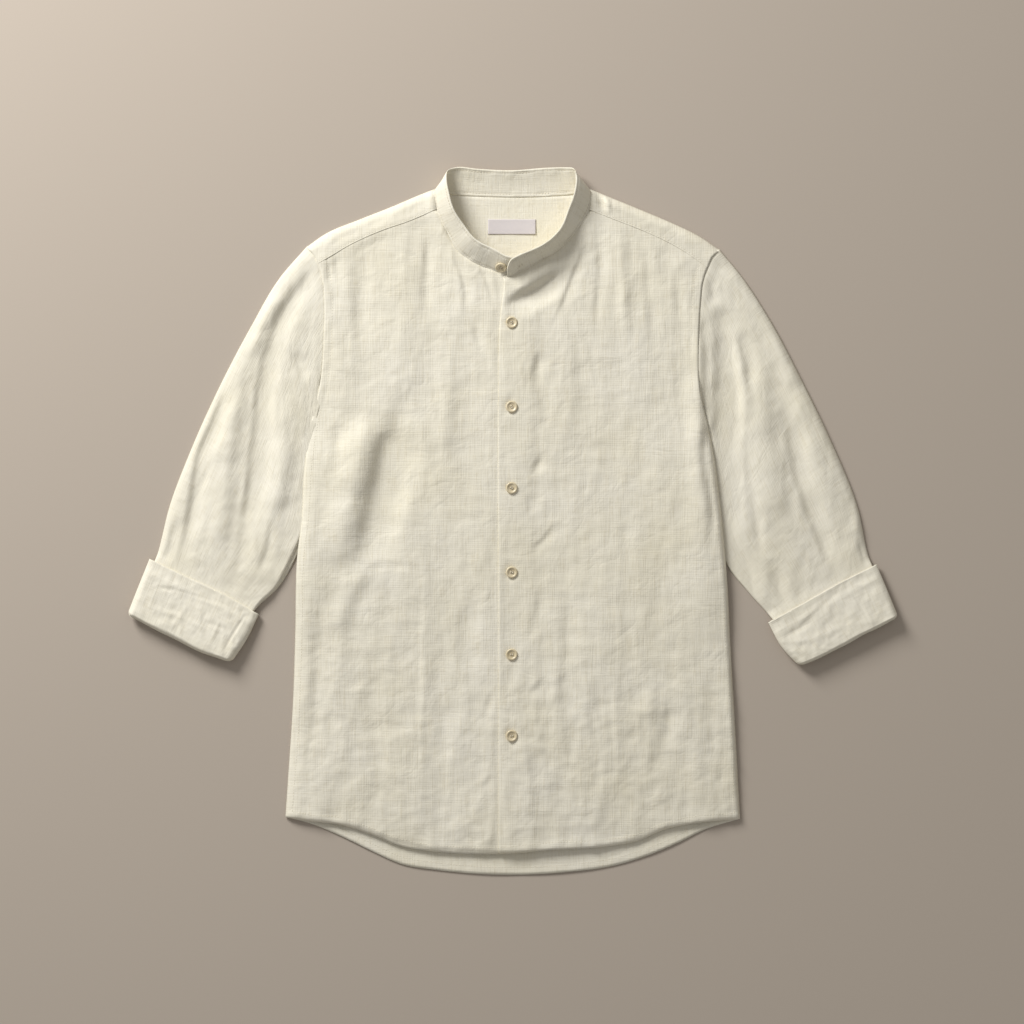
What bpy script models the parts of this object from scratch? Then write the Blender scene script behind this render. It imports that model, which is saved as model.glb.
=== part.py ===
# Band-collar linen shirt, laid flat on its back with the sleeve ends turned back.
# Frame: X across (the wearer's left is +X), Y towards the collar, Z up from the surface it lies on.
# Plan sizes and heights below are in millimetres. The meshes are written in metres.
import math

import bpy
import numpy as np

MM = 0.001

# Driving sizes
WALL = 1.0  # cloth of the body, yoke, sleeves and label
BAND_WALL = 1.5  # collar band: two cloths and a stiffener
BAND_INSET = 1.8  # how far inside the neck seam the band stands
ROLL_WALL = 2.4  # turned-back sleeve end: several folds of cloth
EDGE_GAP = 0.35  # how far each piece's edge stays back from its seam line
LAYER = WALL + 0.4  # one cloth lying on another, centre to centre
FLOOR_LAYER = WALL / 2  # centre of a cloth that lies on the surface
FRONT_LOW = FLOOR_LAYER + LAYER  # centre of a front pressed down on the back
FRONT_REST = 3.3  # centre of a front where it lies loose
FRONT_HIGH = 4.9  # centre of a front on a ridge
FOLD_HIGH = 2.4  # centre of the upper cloth right at a folded edge
EDGE_FALL = 12.0  # width over which a front comes down to its side seam
LAP_EDGE = -15.6  # front edge of the left front, which laps over
UNDERLAP_EDGE = 16.0  # front edge of the right front
LAP_RISE = 1.7  # how much higher the left front lies over the right one
TUCK = 14.0  # how much of a sleeve's inner edge stays low, under the body's side
TUCK_LIFT = 3.5  # how far the body's side is lifted by the sleeve tucked under it
YOKE_SEAM = 258.0  # the hidden seam of yoke and back
ROLL_TOP = 6.9  # centre of the roll's upper wall
SLEEVE_IN_ROLL = (3.3, 4.9)  # centres of the sleeve's two cloths inside the roll
BUTTON_RADIUS = 6.5
BUTTON_HEIGHT = 2.6
BUTTON_PLACES = (217.3, 124.9, 35.8, -56.7, -146.9, -236.0)  # along Y
BUTTON_LINE = -1.6  # along X

CREAM = (0.80, 0.76, 0.66)
LABEL_GREY = (0.68, 0.63, 0.60)
HORN = (0.62, 0.50, 0.33)

# Outlines in plan, for the wearer's right (viewer's left) and left sides
SHOULDER_TIP = {"right": (-227.5, 300.0), "left": (228.0, 296.5)}
SHOULDER = {
    "right": [(-227.5, 300.0), (-206, 315), (-168, 331), (-135, 344), (-102, 358), (-92, 362)],
    "left": [(228.0, 296.5), (206, 311.5), (172, 328), (140, 341.5), (107, 355), (91, 361.5)],
}
YOKE_FRONT_SEAM = {
    "right": [(-91, 339), (-113, 329.5), (-146, 318), (-179, 303), (-201, 290), (-214, 282.5)],
    "left": [(90, 339), (113, 330), (146, 317), (179, 301), (200, 287.5), (213.5, 277.5)],
}
ARMHOLE_CAP = {
    "right": [(-227.5, 300.0), (-220, 293), (-214, 282.5)],
    "left": [(228.0, 296.5), (219.5, 290), (213.5, 277.5)],
}
ARMHOLE_UPPER = {
    "right": [(-214, 282.5), (-210, 268), (-208, YOKE_SEAM)],
    "left": [(213.5, 277.5), (209.5, 267), (207.3, YOKE_SEAM)],
}
ARMHOLE_LOWER = {
    "right": [(-208, YOKE_SEAM), (-207, 230), (-208, 199), (-210, 166), (-213, 145), (-216, 130)],
    "left": [(207.3, YOKE_SEAM), (205.5, 237), (203.5, 199), (203.2, 165), (205, 142), (208, 127)],
}
SIDE = {
    "right": [(-216, 130), (-221, 110), (-229, 55), (-232, 0), (-236.5, -36), (-239, -118),
              (-241.5, -196), (-248, -296), (-250, -326)],
    "left": [(208, 127), (213.5, 106), (220, 72), (226.5, 22), (231, -20), (234.5, -60),
             (239, -140), (242.5, -200), (249.5, -328)],
}
NECK = {
    "right": [(-89.5, 352), (-85, 336), (-75, 311), (-59, 291), (-45, 281), (-30, 274), (-8, 267.5),
              (0, 265.5), (UNDERLAP_EDGE, 263.5)],
    "left": [(89.5, 352), (79.5, 328), (63, 307), (44, 290), (27, 280), (10.5, 271), (-9, 262)],
}
BACK_NECK = [(-92, 362), (-80, 358.5), (-55, 355.8), (0, 354.8), (55, 355.8), (80, 358.5), (91, 361.5)]
FRONT_HEM = {
    "right": [(-250, -326), (-223, -330), (-189, -334), (-155, -345), (-122, -358), (-88, -363.5),
              (-27, -366.5), (UNDERLAP_EDGE, -364.5)],
    "left": [(249.5, -328), (202, -332), (168, -339), (135, -352.5), (101, -358), (42, -361.5),
             (LAP_EDGE, -366)],
}
BACK_HEM = [(-250, -326), (-223, -333), (-189, -347), (-155, -363.5), (-122, -378), (-82, -384.5),
            (0, -389.6), (59, -386.5), (111, -379.5), (146, -369), (180, -355), (213, -339),
            (249.5, -328)]
LAP_LINE = {
    "right": [(UNDERLAP_EDGE, 263.5), (UNDERLAP_EDGE, 100), (UNDERLAP_EDGE, -364.5)],
    "left": [(-9, 262), (-14.5, 212), (LAP_EDGE, 150), (LAP_EDGE, -100), (LAP_EDGE, -366)],
}
SLEEVE_OUTER = {
    "right": [(-227.5, 300.0), (-256, 267), (-289, 211), (-322, 148), (-355, 75), (-377, 17),
              (-391, -38), (-403, -72), (-411.5, -94)],
    "left": [(228.0, 296.5), (250, 270), (283, 219.5), (316, 157), (349, 88.6), (378, 17),
             (391, -40), (403.5, -72), (411, -94)],
}
SLEEVE_INNER = {
    "right": [(-218, 130), (-224.5, 108), (-222.5, 90), (-223, 55), (-225, 10), (-230, -20),
              (-237, -37), (-258, -73), (-284, -98.5), (-298, -122), (-309, -141)],
    "left": [(209.5, 127), (215, 107), (213, 90), (215, 60), (220, 10), (226.5, -25),
             (234, -46), (261, -81), (286, -109.5), (299, -128), (311, -146)],
}
SLEEVE_END = {
    "right": [(-411.5, -94), (-360, -119), (-309, -141)],
    "left": [(411, -94), (360, -121), (311, -146)],
}
# Each roll's four edges: round the sleeve, its fold, and its outer and inner sides
ROLL_MOUTH = {
    "right": [(-399, -42), (-366, -58), (-317, -81), (-279, -103)],
    "left": [(399, -48), (360, -67.5), (316, -92), (280, -112)],
}
ROLL_FOLD = {
    "right": [(-423.5, -104), (-377, -126), (-340, -145), (-309, -156)],
    "left": [(423, -107), (382, -127), (345, -147), (314, -160)],
}
ROLL_OUTER = {
    "right": [(-399, -42), (-411, -72), (-423.5, -104)],
    "left": [(399, -48), (411, -77), (423, -107)],
}
ROLL_INNER = {
    "right": [(-279, -103), (-292, -130), (-309, -156)],
    "left": [(280, -112), (294, -138), (314, -160)],
}

# The collar band, from its lower end round the back to the end that laps over:
# the seam end and the free end of each section in plan, and the seam end's and free end's heights.
BAND_SECTIONS = [
    # seam x, seam y, free x, free y, seam z, free z
    (3, 268.5, 4, 287.5, 4.9, 26),
    (-8, 268.5, -5, 288.5, 4.9, 26),
    (-30, 274, -23, 298, 4.9, 24),
    (-45, 281, -33, 302.5, 4.9, 24),
    (-59, 291, -42, 308.5, 4.9, 24),
    (-73.5, 312, -53.5, 323, 4.9, 23.5),
    (-85, 336, -64.5, 340, 4.9, 26),
    (-88.5, 350, -70, 359, 4.9, 26),
    (-88.5, 358, -72.5, 374, 4.0, 22),
    (-83, 359.5, -71, 384, 2.0, 14),
    (-70, 358, -62, 387.5, 1.1, 9),
    (-40, 356.2, -38, 386, 1.0, 6.5),
    (0, 355.2, 0, 384.5, 1.0, 6.5),
    (40, 356.2, 38, 387.3, 1.0, 6.5),
    (64, 358, 56, 387.5, 1.1, 8),
    (80, 359.5, 66, 386, 2.0, 13),
    (87.5, 358, 68.5, 377, 4.0, 22),
    (88, 349, 67.5, 362, 4.9, 26),
    (79.5, 328, 60.5, 341, 4.9, 24),
    (63, 307, 50.5, 317.5, 4.9, 28),
    (44, 290, 34.5, 302.5, 5.0, 29),
    (27, 280, 19.5, 295, 5.9, 29),
    (10.5, 271, 5, 289, 6.6, 29),
    (-1, 266, -3, 284.5, 6.6, 28),
    (-7, 264.3, -6.8, 280, 6.6, 23),
]

# The largest folds. Where: which piece. Half width, rise (a trough's is negative), path in plan.
FOLDS = [
    # where, half width, rise, path
    ("neck", 26, 1.6, [(-92, 352), (-75, 311), (-45, 281), (-8, 266), (27, 278), (63, 307), (92, 352)]),
    ("front_right", 34, -1.5, [(-140, 118), (-163, 51), (-178, -12)]),
    ("front_right", 30, 1.2, [(-118, 120), (-132, 40), (-138, -30)]),
    ("front_right", 26, 1.2, [(-166, -52), (-199, -124)]),
    ("front_right", 24, -1.2, [(-211, -80), (-216, -202), (-223, -275)]),
    ("front_right", 24, -1.2, [(-48, -85), (-50, -180)]),
    ("front_right", 22, -1.3, [(-95, 305), (-95, 240)]),
    ("front_right", 22, -1.2, [(-169, 265), (-169, 205)]),
    ("front_right", 22, -1.3, [(-59, 289), (-48, 240)]),
    ("front_left", 22, -1.5, [(45, 272), (19, 248), (-12, 230)]),
    ("front_left", 22, -1.3, [(72, 282), (50, 240)]),
    ("front_left", 22, -1.3, [(94, 300), (94, 235)]),
    ("front_left", 24, 1.2, [(120, 290), (122, 210)]),
    ("front_left", 24, -1.2, [(150, 290), (154, 210)]),
    ("front_left", 26, -1.3, [(34, 190), (17, 135)]),
    ("front_left", 26, -1.2, [(44, -10), (18, -60), (20, -140)]),
    ("front_left", 28, 1.2, [(150, -195), (120, -235)]),
    ("front_left", 26, -1.2, [(174, -205), (154, -285)]),
    ("sleeve_right", 24, -2.2, [(-217, 276), (-250, 230), (-270, 170), (-280, 97), (-297, -14), (-310, -85)]),
    ("sleeve_right", 20, -2.0, [(-318, 140), (-341, 75), (-353, 15), (-368, -62)]),
    ("sleeve_right", 24, 1.3, [(-255, 95), (-262, 30), (-276, -40)]),
    ("sleeve_right", 24, 1.3, [(-300, 150), (-315, 60), (-335, -40)]),
    ("sleeve_left", 30, -2.2, [(222, 178), (222, 120), (229, 50), (238, -20)]),
    ("sleeve_left", 22, -1.4, [(238, 225), (260, 177), (251, 135)]),
    ("sleeve_left", 26, -2.0, [(298, 120), (316, 47), (343, -30), (358, -72)]),
    ("sleeve_left", 30, 1.4, [(266, 150), (277, 75), (292, -20)]),
    ("sleeve_left", 22, -1.4, [(284, -55), (304, -100)]),
]


def smooth_line(points, shares):
    """Places at these shares of the length of a smooth curve through the points."""
    points = np.array(points, float)
    if len(points) == 2:
        return points[0] + np.outer(shares, points[1] - points[0])
    steps = np.diff(points, axis=0)
    lengths = np.linalg.norm(steps, axis=1)[:, None]
    slopes = steps / lengths
    weights = lengths[1:] + lengths[:-1]
    middle = (slopes[:-1] * lengths[1:] + slopes[1:] * lengths[:-1]) / weights
    tangents = np.vstack([slopes[:1], middle, slopes[-1:]])
    t = np.linspace(0, 1, 9)[:-1, None]
    spans = []
    for start, end, first, last, length in zip(
        points[:-1], points[1:], tangents[:-1], tangents[1:], lengths
    ):
        spans.append(
            (2 * t**3 - 3 * t**2 + 1) * start
            + (t**3 - 2 * t**2 + t) * length * first
            + (3 * t**2 - 2 * t**3) * end
            + (t**3 - t**2) * length * last
        )
    line = np.vstack(spans + [points[-1:]])
    travelled = np.concatenate([[0], np.cumsum(np.linalg.norm(np.diff(line, axis=0), axis=1))])
    wanted = np.asarray(shares) * travelled[-1]
    return np.column_stack([np.interp(wanted, travelled, axis) for axis in line.T])


def edge_line(pieces, shares):
    """One edge made of several curves. Each piece is (share where it ends, its points)."""
    shares = np.asarray(shares, float)
    places = np.zeros((len(shares), 2))
    start = 0.0
    for end, points in pieces:
        here = (shares >= start - 1e-9) & (shares <= end + 1e-9)
        local = np.clip((shares[here] - start) / (end - start), 0, 1)
        places[here] = smooth_line(points, local)
        start = end
    return places


def panel_plan(top, bottom, left, right, across, down):
    """Plan of a four-sided panel between its edges, as rows (down) of places (across)."""
    u = np.asarray(across)[None, :, None]
    v = np.asarray(down)[:, None, None]
    top, bottom = edge_line(top, across)[None], edge_line(bottom, across)[None]
    left, right = edge_line(left, down)[:, None], edge_line(right, down)[:, None]
    corners = (1 - v) * ((1 - u) * left[:1] + u * right[:1])
    corners = corners + v * ((1 - u) * left[-1:] + u * right[-1:])
    return (1 - v) * top + v * bottom + (1 - u) * left + u * right - corners


def drawn_in(plan, distance, sides=("top", "bottom", "left", "right")):
    """The plan with the named edges moved inwards, to leave a gap at their seams."""
    plan = plan.copy()
    edges = {"top": (0, 1, 0), "bottom": (-1, -2, 0), "left": (0, 1, 1), "right": (-1, -2, 1)}
    for side in sides:
        edge, inner, axis = edges[side]
        rows = plan if axis == 0 else plan.swapaxes(0, 1)
        towards = rows[inner] - rows[edge]
        rows[edge] += towards / np.linalg.norm(towards, axis=1)[:, None] * distance
    return plan


def smooth_step(x):
    x = np.clip(x, 0, 1)
    return x * x * (3 - 2 * x)


def stretches(*runs):
    """Shares along an edge: each run is (where it ends, number of steps)."""
    shares = [0.0]
    for end, count in runs:
        start = shares[-1]
        shares += [start + (end - start) * (i + 1) / count for i in range(count)]
    return np.array(shares)


def fold_height(where, x, y):
    """Sum of the folds of this piece at the places x, y."""
    total = np.zeros_like(x)
    for piece, half_width, rise, path in FOLDS:
        if piece != where:
            continue
        line = smooth_line(path, np.linspace(0, 1, 9))
        nearest = np.full(x.shape, np.inf)
        along = np.zeros_like(x)
        for i, (start, end) in enumerate(zip(line[:-1], line[1:])):
            step = end - start
            t = ((x - start[0]) * step[0] + (y - start[1]) * step[1]) / (step @ step)
            t = np.clip(t, 0, 1)
            away = np.hypot(x - start[0] - t * step[0], y - start[1] - t * step[1])
            closer = away < nearest
            nearest[closer] = away[closer]
            along[closer] = (i + t[closer]) / (len(line) - 1)
        bump = 0.5 + 0.5 * np.cos(np.pi * np.clip(nearest / half_width, 0, 1))
        ends = smooth_step(np.minimum(along, 1 - along) / 0.15 + 0.35)
        total += rise * bump * ends
    return total


def reach(lines, x, y):
    """How far |x| of a side's line is at this y, for places on either side."""
    distance = np.zeros_like(x)
    for side, sign in (("right", -1), ("left", 1)):
        line = smooth_line(lines[side], np.linspace(0, 1, 60))
        order = np.argsort(line[:, 1])
        at = np.interp(y, line[order, 1], np.abs(line[order, 0]))
        distance = np.where(x * sign >= 0, at, distance)
    return distance


def tuck_lift(x, y):
    """How far the body is lifted over the sleeves tucked under its sides."""
    lengthwise = smooth_step((128 - y) / 17) * smooth_step((y + 105) / 42)
    tucked = reach(SLEEVE_INNER, x, np.clip(y, -46, 127))
    return TUCK_LIFT * lengthwise * smooth_step((np.abs(x) - tucked + 46) / 28)


def front_height(where, x, y):
    """Centre height of a front. Its sides and hem come down onto the back, and the lap is plain."""
    folds = fold_height(where, x, y) * smooth_step((np.abs(x) - 17) / 16)
    height = np.clip(FRONT_REST + fold_height("neck", x, y) + folds, FRONT_LOW, FRONT_HIGH)
    from_side = reach(SIDE, x, y) - np.abs(x)
    fall = np.where(y < 126, from_side, EDGE_FALL) / EDGE_FALL
    hem = np.interp(np.abs(x), [0, 90, 135, 170, 250], [-366, -362, -351, -338, -327])
    fall = np.minimum(fall, (y - hem) / EDGE_FALL)
    height = FRONT_LOW + (height - FRONT_LOW) * smooth_step(fall)
    return height + tuck_lift(x, y)


def left_front_height(x, y):
    return front_height("front_left", x, y) + LAP_RISE * smooth_step((36 - x) / 17)


def sleeve_height(side, x, y):
    return np.clip(FRONT_REST + fold_height("sleeve_" + side, x, y), 2.3, FRONT_HIGH)


def new_material(name, colour, roughness):
    material = bpy.data.materials.new(name)
    material.use_nodes = True
    shader = material.node_tree.nodes["Principled BSDF"]
    shader.inputs["Base Color"].default_value = (*colour, 1)
    shader.inputs["Roughness"].default_value = roughness
    shader.inputs["Metallic"].default_value = 0
    material.diffuse_color = (*colour, 1)
    return material


def grid_faces(rows, columns, wrap=False, first=0):
    """Faces of a grid of points numbered row by row. A wrapped grid closes across."""
    faces = []
    for row in range(rows - 1):
        for column in range(columns if wrap else columns - 1):
            beside = (column + 1) % columns
            a, b = first + row * columns + column, first + row * columns + beside
            faces.append((a, b, b + columns, a + columns))
    return faces


def cloth(name, points, faces, wall, colour, even=True):
    """A sheet of cloth: its centre surface, thickened equally to both sides."""
    mesh = bpy.data.meshes.new(name)
    mesh.from_pydata((np.asarray(points) * MM).tolist(), [], faces)
    mesh.shade_smooth()
    piece = bpy.data.objects.new(name, mesh)
    parts.objects.link(piece)
    solid = piece.modifiers.new("thickness", "SOLIDIFY")
    solid.thickness = wall * MM
    solid.offset = 0
    solid.use_even_offset = even
    mesh.materials.append(new_material(name + "_cloth", colour, 0.9))
    return piece


SIDE_ROWS = stretches((0.05, 2), (0.93, 11), (1, 2))  # down the side seam, the same on front and back


def raised(plan, height):
    return np.dstack([plan, height])


def make_back():
    across = stretches((0.06, 2), (0.16, 2), (0.84, 4), (0.94, 2), (1, 2))
    down = np.concatenate([stretches((0.2, 8)), 0.2 + 0.8 * SIDE_ROWS[1:]])
    edges = {}
    for side in ("right", "left"):
        edges[side] = [(0.2, ARMHOLE_LOWER[side]), (1, SIDE[side])]
    top = [(1, [ARMHOLE_LOWER["right"][0], ARMHOLE_LOWER["left"][0]])]
    plan = panel_plan(top, [(1, BACK_HEM)], edges["right"], edges["left"], across, down)
    plan = drawn_in(plan, EDGE_GAP)
    x, y = plan[..., 0], plan[..., 1]
    rows, columns = x.shape
    height = FLOOR_LAYER + tuck_lift(x, y)
    return cloth("back", raised(plan, height).reshape(-1, 3), grid_faces(rows, columns), WALL, CREAM)


def make_yoke():
    """The lower cloth from side to side, and a wing folded over each shoulder."""
    wing_across, neck_across = stretches((1, 8)), stretches((1, 10))
    down = stretches((0.42, 3), (1, 3))
    top = np.vstack([
        smooth_line(SHOULDER["right"], wing_across),
        smooth_line(BACK_NECK, neck_across)[1:],
        smooth_line(SHOULDER["left"], wing_across)[::-1][1:],
    ])
    columns = len(top)
    along = np.concatenate([[0], np.cumsum(np.linalg.norm(np.diff(top, axis=0), axis=1))])
    along = along / along[-1]
    cap = {}
    for side in ("right", "left"):
        cap[side] = [(0.42, ARMHOLE_CAP[side]), (1, ARMHOLE_UPPER[side])]
    ends = {side: edge_line(cap[side], down)[:, None] for side in cap}
    u, v = along[None, :, None], down[:, None, None]
    seam = smooth_line([ends["right"][-1, 0], ends["left"][-1, 0]], along)[None]
    corners = (1 - v) * ((1 - u) * ends["right"][:1] + u * ends["left"][:1])
    corners = corners + v * ((1 - u) * ends["right"][-1:] + u * ends["left"][-1:])
    plan = (1 - v) * top[None] + v * seam + (1 - u) * ends["right"] + u * ends["left"] - corners
    plan = drawn_in(plan, EDGE_GAP, ("bottom", "left", "right"))
    plan[0, 8:-8] += (0, -EDGE_GAP)
    fold = plan[0].copy()
    inwards = (FOLD_HIGH - FLOOR_LAYER) / 2
    plan[0, :9] += (0.35, -inwards)
    plan[0, -9:] += (-0.35, -inwards)
    points = [raised(plan, np.full(plan.shape[:2], FLOOR_LAYER)).reshape(-1, 3)]
    faces = grid_faces(len(down), columns)
    count = len(down) * columns
    wing_down = np.array([0, 0.35, 0.7, 1])
    for side, lower in (("right", range(9)), ("left", range(columns - 1, columns - 10, -1))):
        lower = list(lower)
        neck_edge = [SHOULDER[side][-1], YOKE_FRONT_SEAM[side][0]]
        wing = panel_plan(
            [(1, SHOULDER[side])], [(1, YOKE_FRONT_SEAM[side][::-1])],
            [(1, ARMHOLE_CAP[side])], [(1, neck_edge)], wing_across, wing_down,
        )
        wing = drawn_in(wing, EDGE_GAP, ("left", "right", "bottom"))
        wing[0] = plan[0, lower]
        loose = front_height("front_" + side, wing[..., 0], wing[..., 1])
        rise = smooth_step(wing_down / 0.8)[:, None]
        crease = np.column_stack([fold[lower], np.full(9, (FLOOR_LAYER + FOLD_HIGH) / 2)])
        sheet = raised(wing, FOLD_HIGH + (loose - FOLD_HIGH) * rise).reshape(-1, 3)
        points.append(np.vstack([crease, sheet]))
        joined = [(lower[i + 1], lower[i], count + i, count + i + 1) for i in range(8)]
        joined += [face[::-1] for face in grid_faces(5, 9, first=count)]
        faces += joined if side == "right" else [face[::-1] for face in joined]
        count += 45
    return cloth("yoke", np.vstack(points), faces, WALL, CREAM)


def make_front(side):
    """A front, from its front edge to the armhole and side seam."""
    across = stretches((0.06, 1), (0.5, 6), (0.95, 5), (1, 2))
    down = np.concatenate([stretches((0.07, 2), (0.25, 8)), 0.25 + 0.75 * SIDE_ROWS[1:]])
    neck = [*NECK[side][:0:-1], YOKE_FRONT_SEAM[side][0]]
    top = [(0.5, neck), (1, YOKE_FRONT_SEAM[side])]
    outer = [(0.07, ARMHOLE_UPPER[side]), (0.25, ARMHOLE_LOWER[side]), (1, SIDE[side])]
    plan = panel_plan(top, [(1, FRONT_HEM[side][::-1])], [(1, LAP_LINE[side])], outer, across, down)
    plan = drawn_in(plan, EDGE_GAP)
    x, y = plan[..., 0], plan[..., 1]
    rows, columns = x.shape
    height = left_front_height(x, y) if side == "left" else front_height("front_right", x, y)
    faces = grid_faces(rows, columns)
    return cloth("front_" + side, raised(plan, height).reshape(-1, 3), faces, WALL, CREAM)


def flat_tube(plan, low, high, fold_inset):
    """Rings round a flattened tube: over the top from edge to edge and back underneath."""
    middle = (low + high) / 2
    widths = np.linalg.norm(plan[:, -1] - plan[:, 0], axis=1)[:, None]
    outwards = (plan[:, 0] - plan[:, -1]) / widths
    top = raised(plan, high)
    under = raised(plan, low)
    top[:, 0, :2] -= outwards * fold_inset
    top[:, -1, :2] += outwards * fold_inset
    under[:, 0, :2] = top[:, 0, :2]
    under[:, -1, :2] = top[:, -1, :2]
    outer = np.column_stack([plan[:, 0], middle[:, 0]])[:, None]
    inner = np.column_stack([plan[:, -1], middle[:, -1]])[:, None]
    rings = np.concatenate([outer, top, inner, under[:, ::-1]], axis=1)
    rows, columns = rings.shape[:2]
    return rings.reshape(-1, 3), grid_faces(rows, columns, wrap=True)


def make_sleeve(side):
    """A pressed-flat tube. Its end lies inside the roll, and its inner edge under the body."""
    across = stretches((0.14, 3), (0.28, 2), (1, 8))
    down = stretches((0.06, 1), (0.72, 9), (0.86, 2), (1, 2))
    lower = [*ARMHOLE_LOWER[side][:-1], SLEEVE_INNER[side][0]]
    armhole = [(0.14, ARMHOLE_CAP[side]), (0.28, ARMHOLE_UPPER[side]), (1, lower)]
    plan = panel_plan(
        armhole, [(1, SLEEVE_END[side])], [(1, SLEEVE_OUTER[side])], [(1, SLEEVE_INNER[side])],
        across, down,
    )
    plan = drawn_in(plan, EDGE_GAP, ("top",))
    x, y = plan[..., 0], plan[..., 1]
    mouth = smooth_line(ROLL_MOUTH[side], np.linspace(0, 1, 30))
    along = mouth[-1] - mouth[0]
    along = along / np.linalg.norm(along)
    outwards = np.array([-along[1], along[0]]) * (-1 if side == "left" else 1)
    before = (x - mouth[0, 0]) * outwards[0] + (y - mouth[0, 1]) * outwards[1]
    inside = smooth_step((45 - before) / 32)
    width = np.linalg.norm(plan[:, -1] - plan[:, 0], axis=1)[:, None]
    from_edge = np.minimum(across[None] * width, (1 - across)[None] * width - TUCK)
    loose = 2.3 + (sleeve_height(side, x, y) - 2.3) * smooth_step(from_edge / 14)
    low = FLOOR_LAYER + (SLEEVE_IN_ROLL[0] - FLOOR_LAYER) * inside
    high = loose + (SLEEVE_IN_ROLL[1] - loose) * inside
    points, faces = flat_tube(plan, low, high, 1.0)
    return cloth("sleeve_" + side, points, faces, WALL, CREAM, even=False)


def make_cuff(side):
    """The roll round the sleeve's end, open at both ends."""
    across = stretches((1, 10))
    down = stretches((1, 5))
    plan = panel_plan(
        [(1, ROLL_MOUTH[side])], [(1, ROLL_FOLD[side])],
        [(1, ROLL_OUTER[side])], [(1, ROLL_INNER[side])], across, down,
    )
    half_wall = ROLL_WALL / 2
    plan = drawn_in(plan, half_wall, ("left", "right"))
    shape = plan.shape[:2]
    low, high = np.full(shape, half_wall), np.full(shape, ROLL_TOP)
    points, faces = flat_tube(plan, low, high, 2.6)
    return cloth("cuff_" + side, points, faces, ROLL_WALL, CREAM, even=False)


def band_surface(along, up):
    """Places on the band: along it from end to end, and up from the seam to the free edge."""
    table = np.array(BAND_SECTIONS, float)
    lower, upper = table[:, (0, 1, 4)], table[:, (2, 3, 5)]
    towards = upper[:, :2] - lower[:, :2]
    lower[:, :2] += towards / np.linalg.norm(towards, axis=1)[:, None] * BAND_INSET
    lengths = np.concatenate([[0], np.cumsum(np.linalg.norm(np.diff(lower, axis=0), axis=1))])
    sections = np.interp(np.asarray(along) * lengths[-1], lengths, np.arange(len(table)))
    shares = sections / (len(table) - 1)
    ends = []
    for line in (lower, upper):
        numbered = np.column_stack([np.arange(len(table)), line])
        dense = smooth_line(numbered[:, 1:], np.linspace(0, 1, 400))
        travelled = np.concatenate(
            [[0], np.cumsum(np.linalg.norm(np.diff(line, axis=0), axis=1))]
        )
        wanted = np.interp(shares * (len(table) - 1), np.arange(len(table)), travelled / travelled[-1])
        index = np.linspace(0, 1, 400)
        ends.append(np.column_stack([np.interp(wanted, index, axis) for axis in dense.T]))
    lower, upper = ends
    share = np.asarray(up)[:, None, None]
    return lower[None] * (1 - share) + upper[None] * share


def make_collar_band():
    points = band_surface(np.linspace(0, 1, 36), np.linspace(0, 1, 4))
    rows, columns = points.shape[:2]
    return cloth("collar_band", points.reshape(-1, 3), grid_faces(rows, columns), BAND_WALL, CREAM)


def make_label():
    """The blank label lies on the yoke, inside the neck."""
    points = []
    for y in (331, 322.7, 314.5):
        points += [(x, y, FLOOR_LAYER + LAYER) for x in (-27.5, -14, -1, 12, 25)]
    return cloth("neck_label", points, grid_faces(3, 5), WALL, LABEL_GREY)


def make_button(name, place, normal):
    """A turned four-hole button: dished face, rounded rim."""
    profile = [(0, 1.7), (3.9, 1.7), (4.6, 2.6), (5.7, 2.6), (6.5, 1.7), (6.0, 0.4), (4.8, 0), (0, 0)]
    mesh = bpy.data.meshes.new(name)
    points = [(radius * MM, 0, height * MM) for radius, height in profile]
    mesh.from_pydata(points, [(i, i + 1) for i in range(len(points) - 1)], [])
    button = bpy.data.objects.new(name, mesh)
    parts.objects.link(button)
    turn = button.modifiers.new("turn", "SCREW")
    turn.steps = turn.render_steps = 14
    turn.use_merge_vertices = True
    turn.merge_threshold = 0.00005
    button.location = np.array(place) * MM
    button.rotation_euler = normal
    for i in range(4):
        angle = math.pi / 4 + i * math.pi / 2
        bpy.ops.mesh.primitive_cylinder_add(vertices=6, radius=0.9 * MM, depth=6 * MM)
        hole = bpy.context.object
        hole.name = f"{name}_hole_{i + 1}"
        hole.location = (1.6 * MM * math.cos(angle), 1.6 * MM * math.sin(angle), 1 * MM)
        hole.parent = button
        hole.hide_render = True
        hole.display_type = "WIRE"
        for collection in list(hole.users_collection):
            collection.objects.unlink(hole)
        cutters.objects.link(hole)
        cut = button.modifiers.new(f"hole_{i + 1}", "BOOLEAN")
        cut.operation = "DIFFERENCE"
        cut.object = hole
    mesh.materials.append(new_material(name + "_horn", HORN, 0.4))
    return button


def make_front_buttons():
    """Each button lies on the left front, just clear of the highest cloth under it."""
    angles = np.linspace(0, 2 * math.pi, 17)
    for number, y in enumerate(BUTTON_PLACES, 1):
        rim_x = BUTTON_LINE + BUTTON_RADIUS * np.cos(angles)
        rim_y = y + BUTTON_RADIUS * np.sin(angles)
        seat = left_front_height(rim_x, rim_y).max() + WALL / 2 + 0.35
        make_button(f"button_{number}", (BUTTON_LINE, y, seat), (0, 0, 0.3 * number))


def make_collar_button():
    """It lies on the outer face of the band's lower end."""
    along, up = np.array([0.035, 0.042, 0.049]), np.array([0.4, 0.5, 0.6])
    patch = band_surface(along, up)
    place = patch[1, 1]
    normal = np.cross(patch[1, 2] - patch[1, 0], patch[2, 1] - patch[0, 1])
    normal = normal / np.linalg.norm(normal) * np.sign(normal[2])
    tilt = math.acos(normal[2])
    turn = math.atan2(normal[1], normal[0])
    place = place + normal * (BAND_WALL / 2 + 0.45)
    make_button("button_collar", place, (0, tilt, turn))


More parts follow.
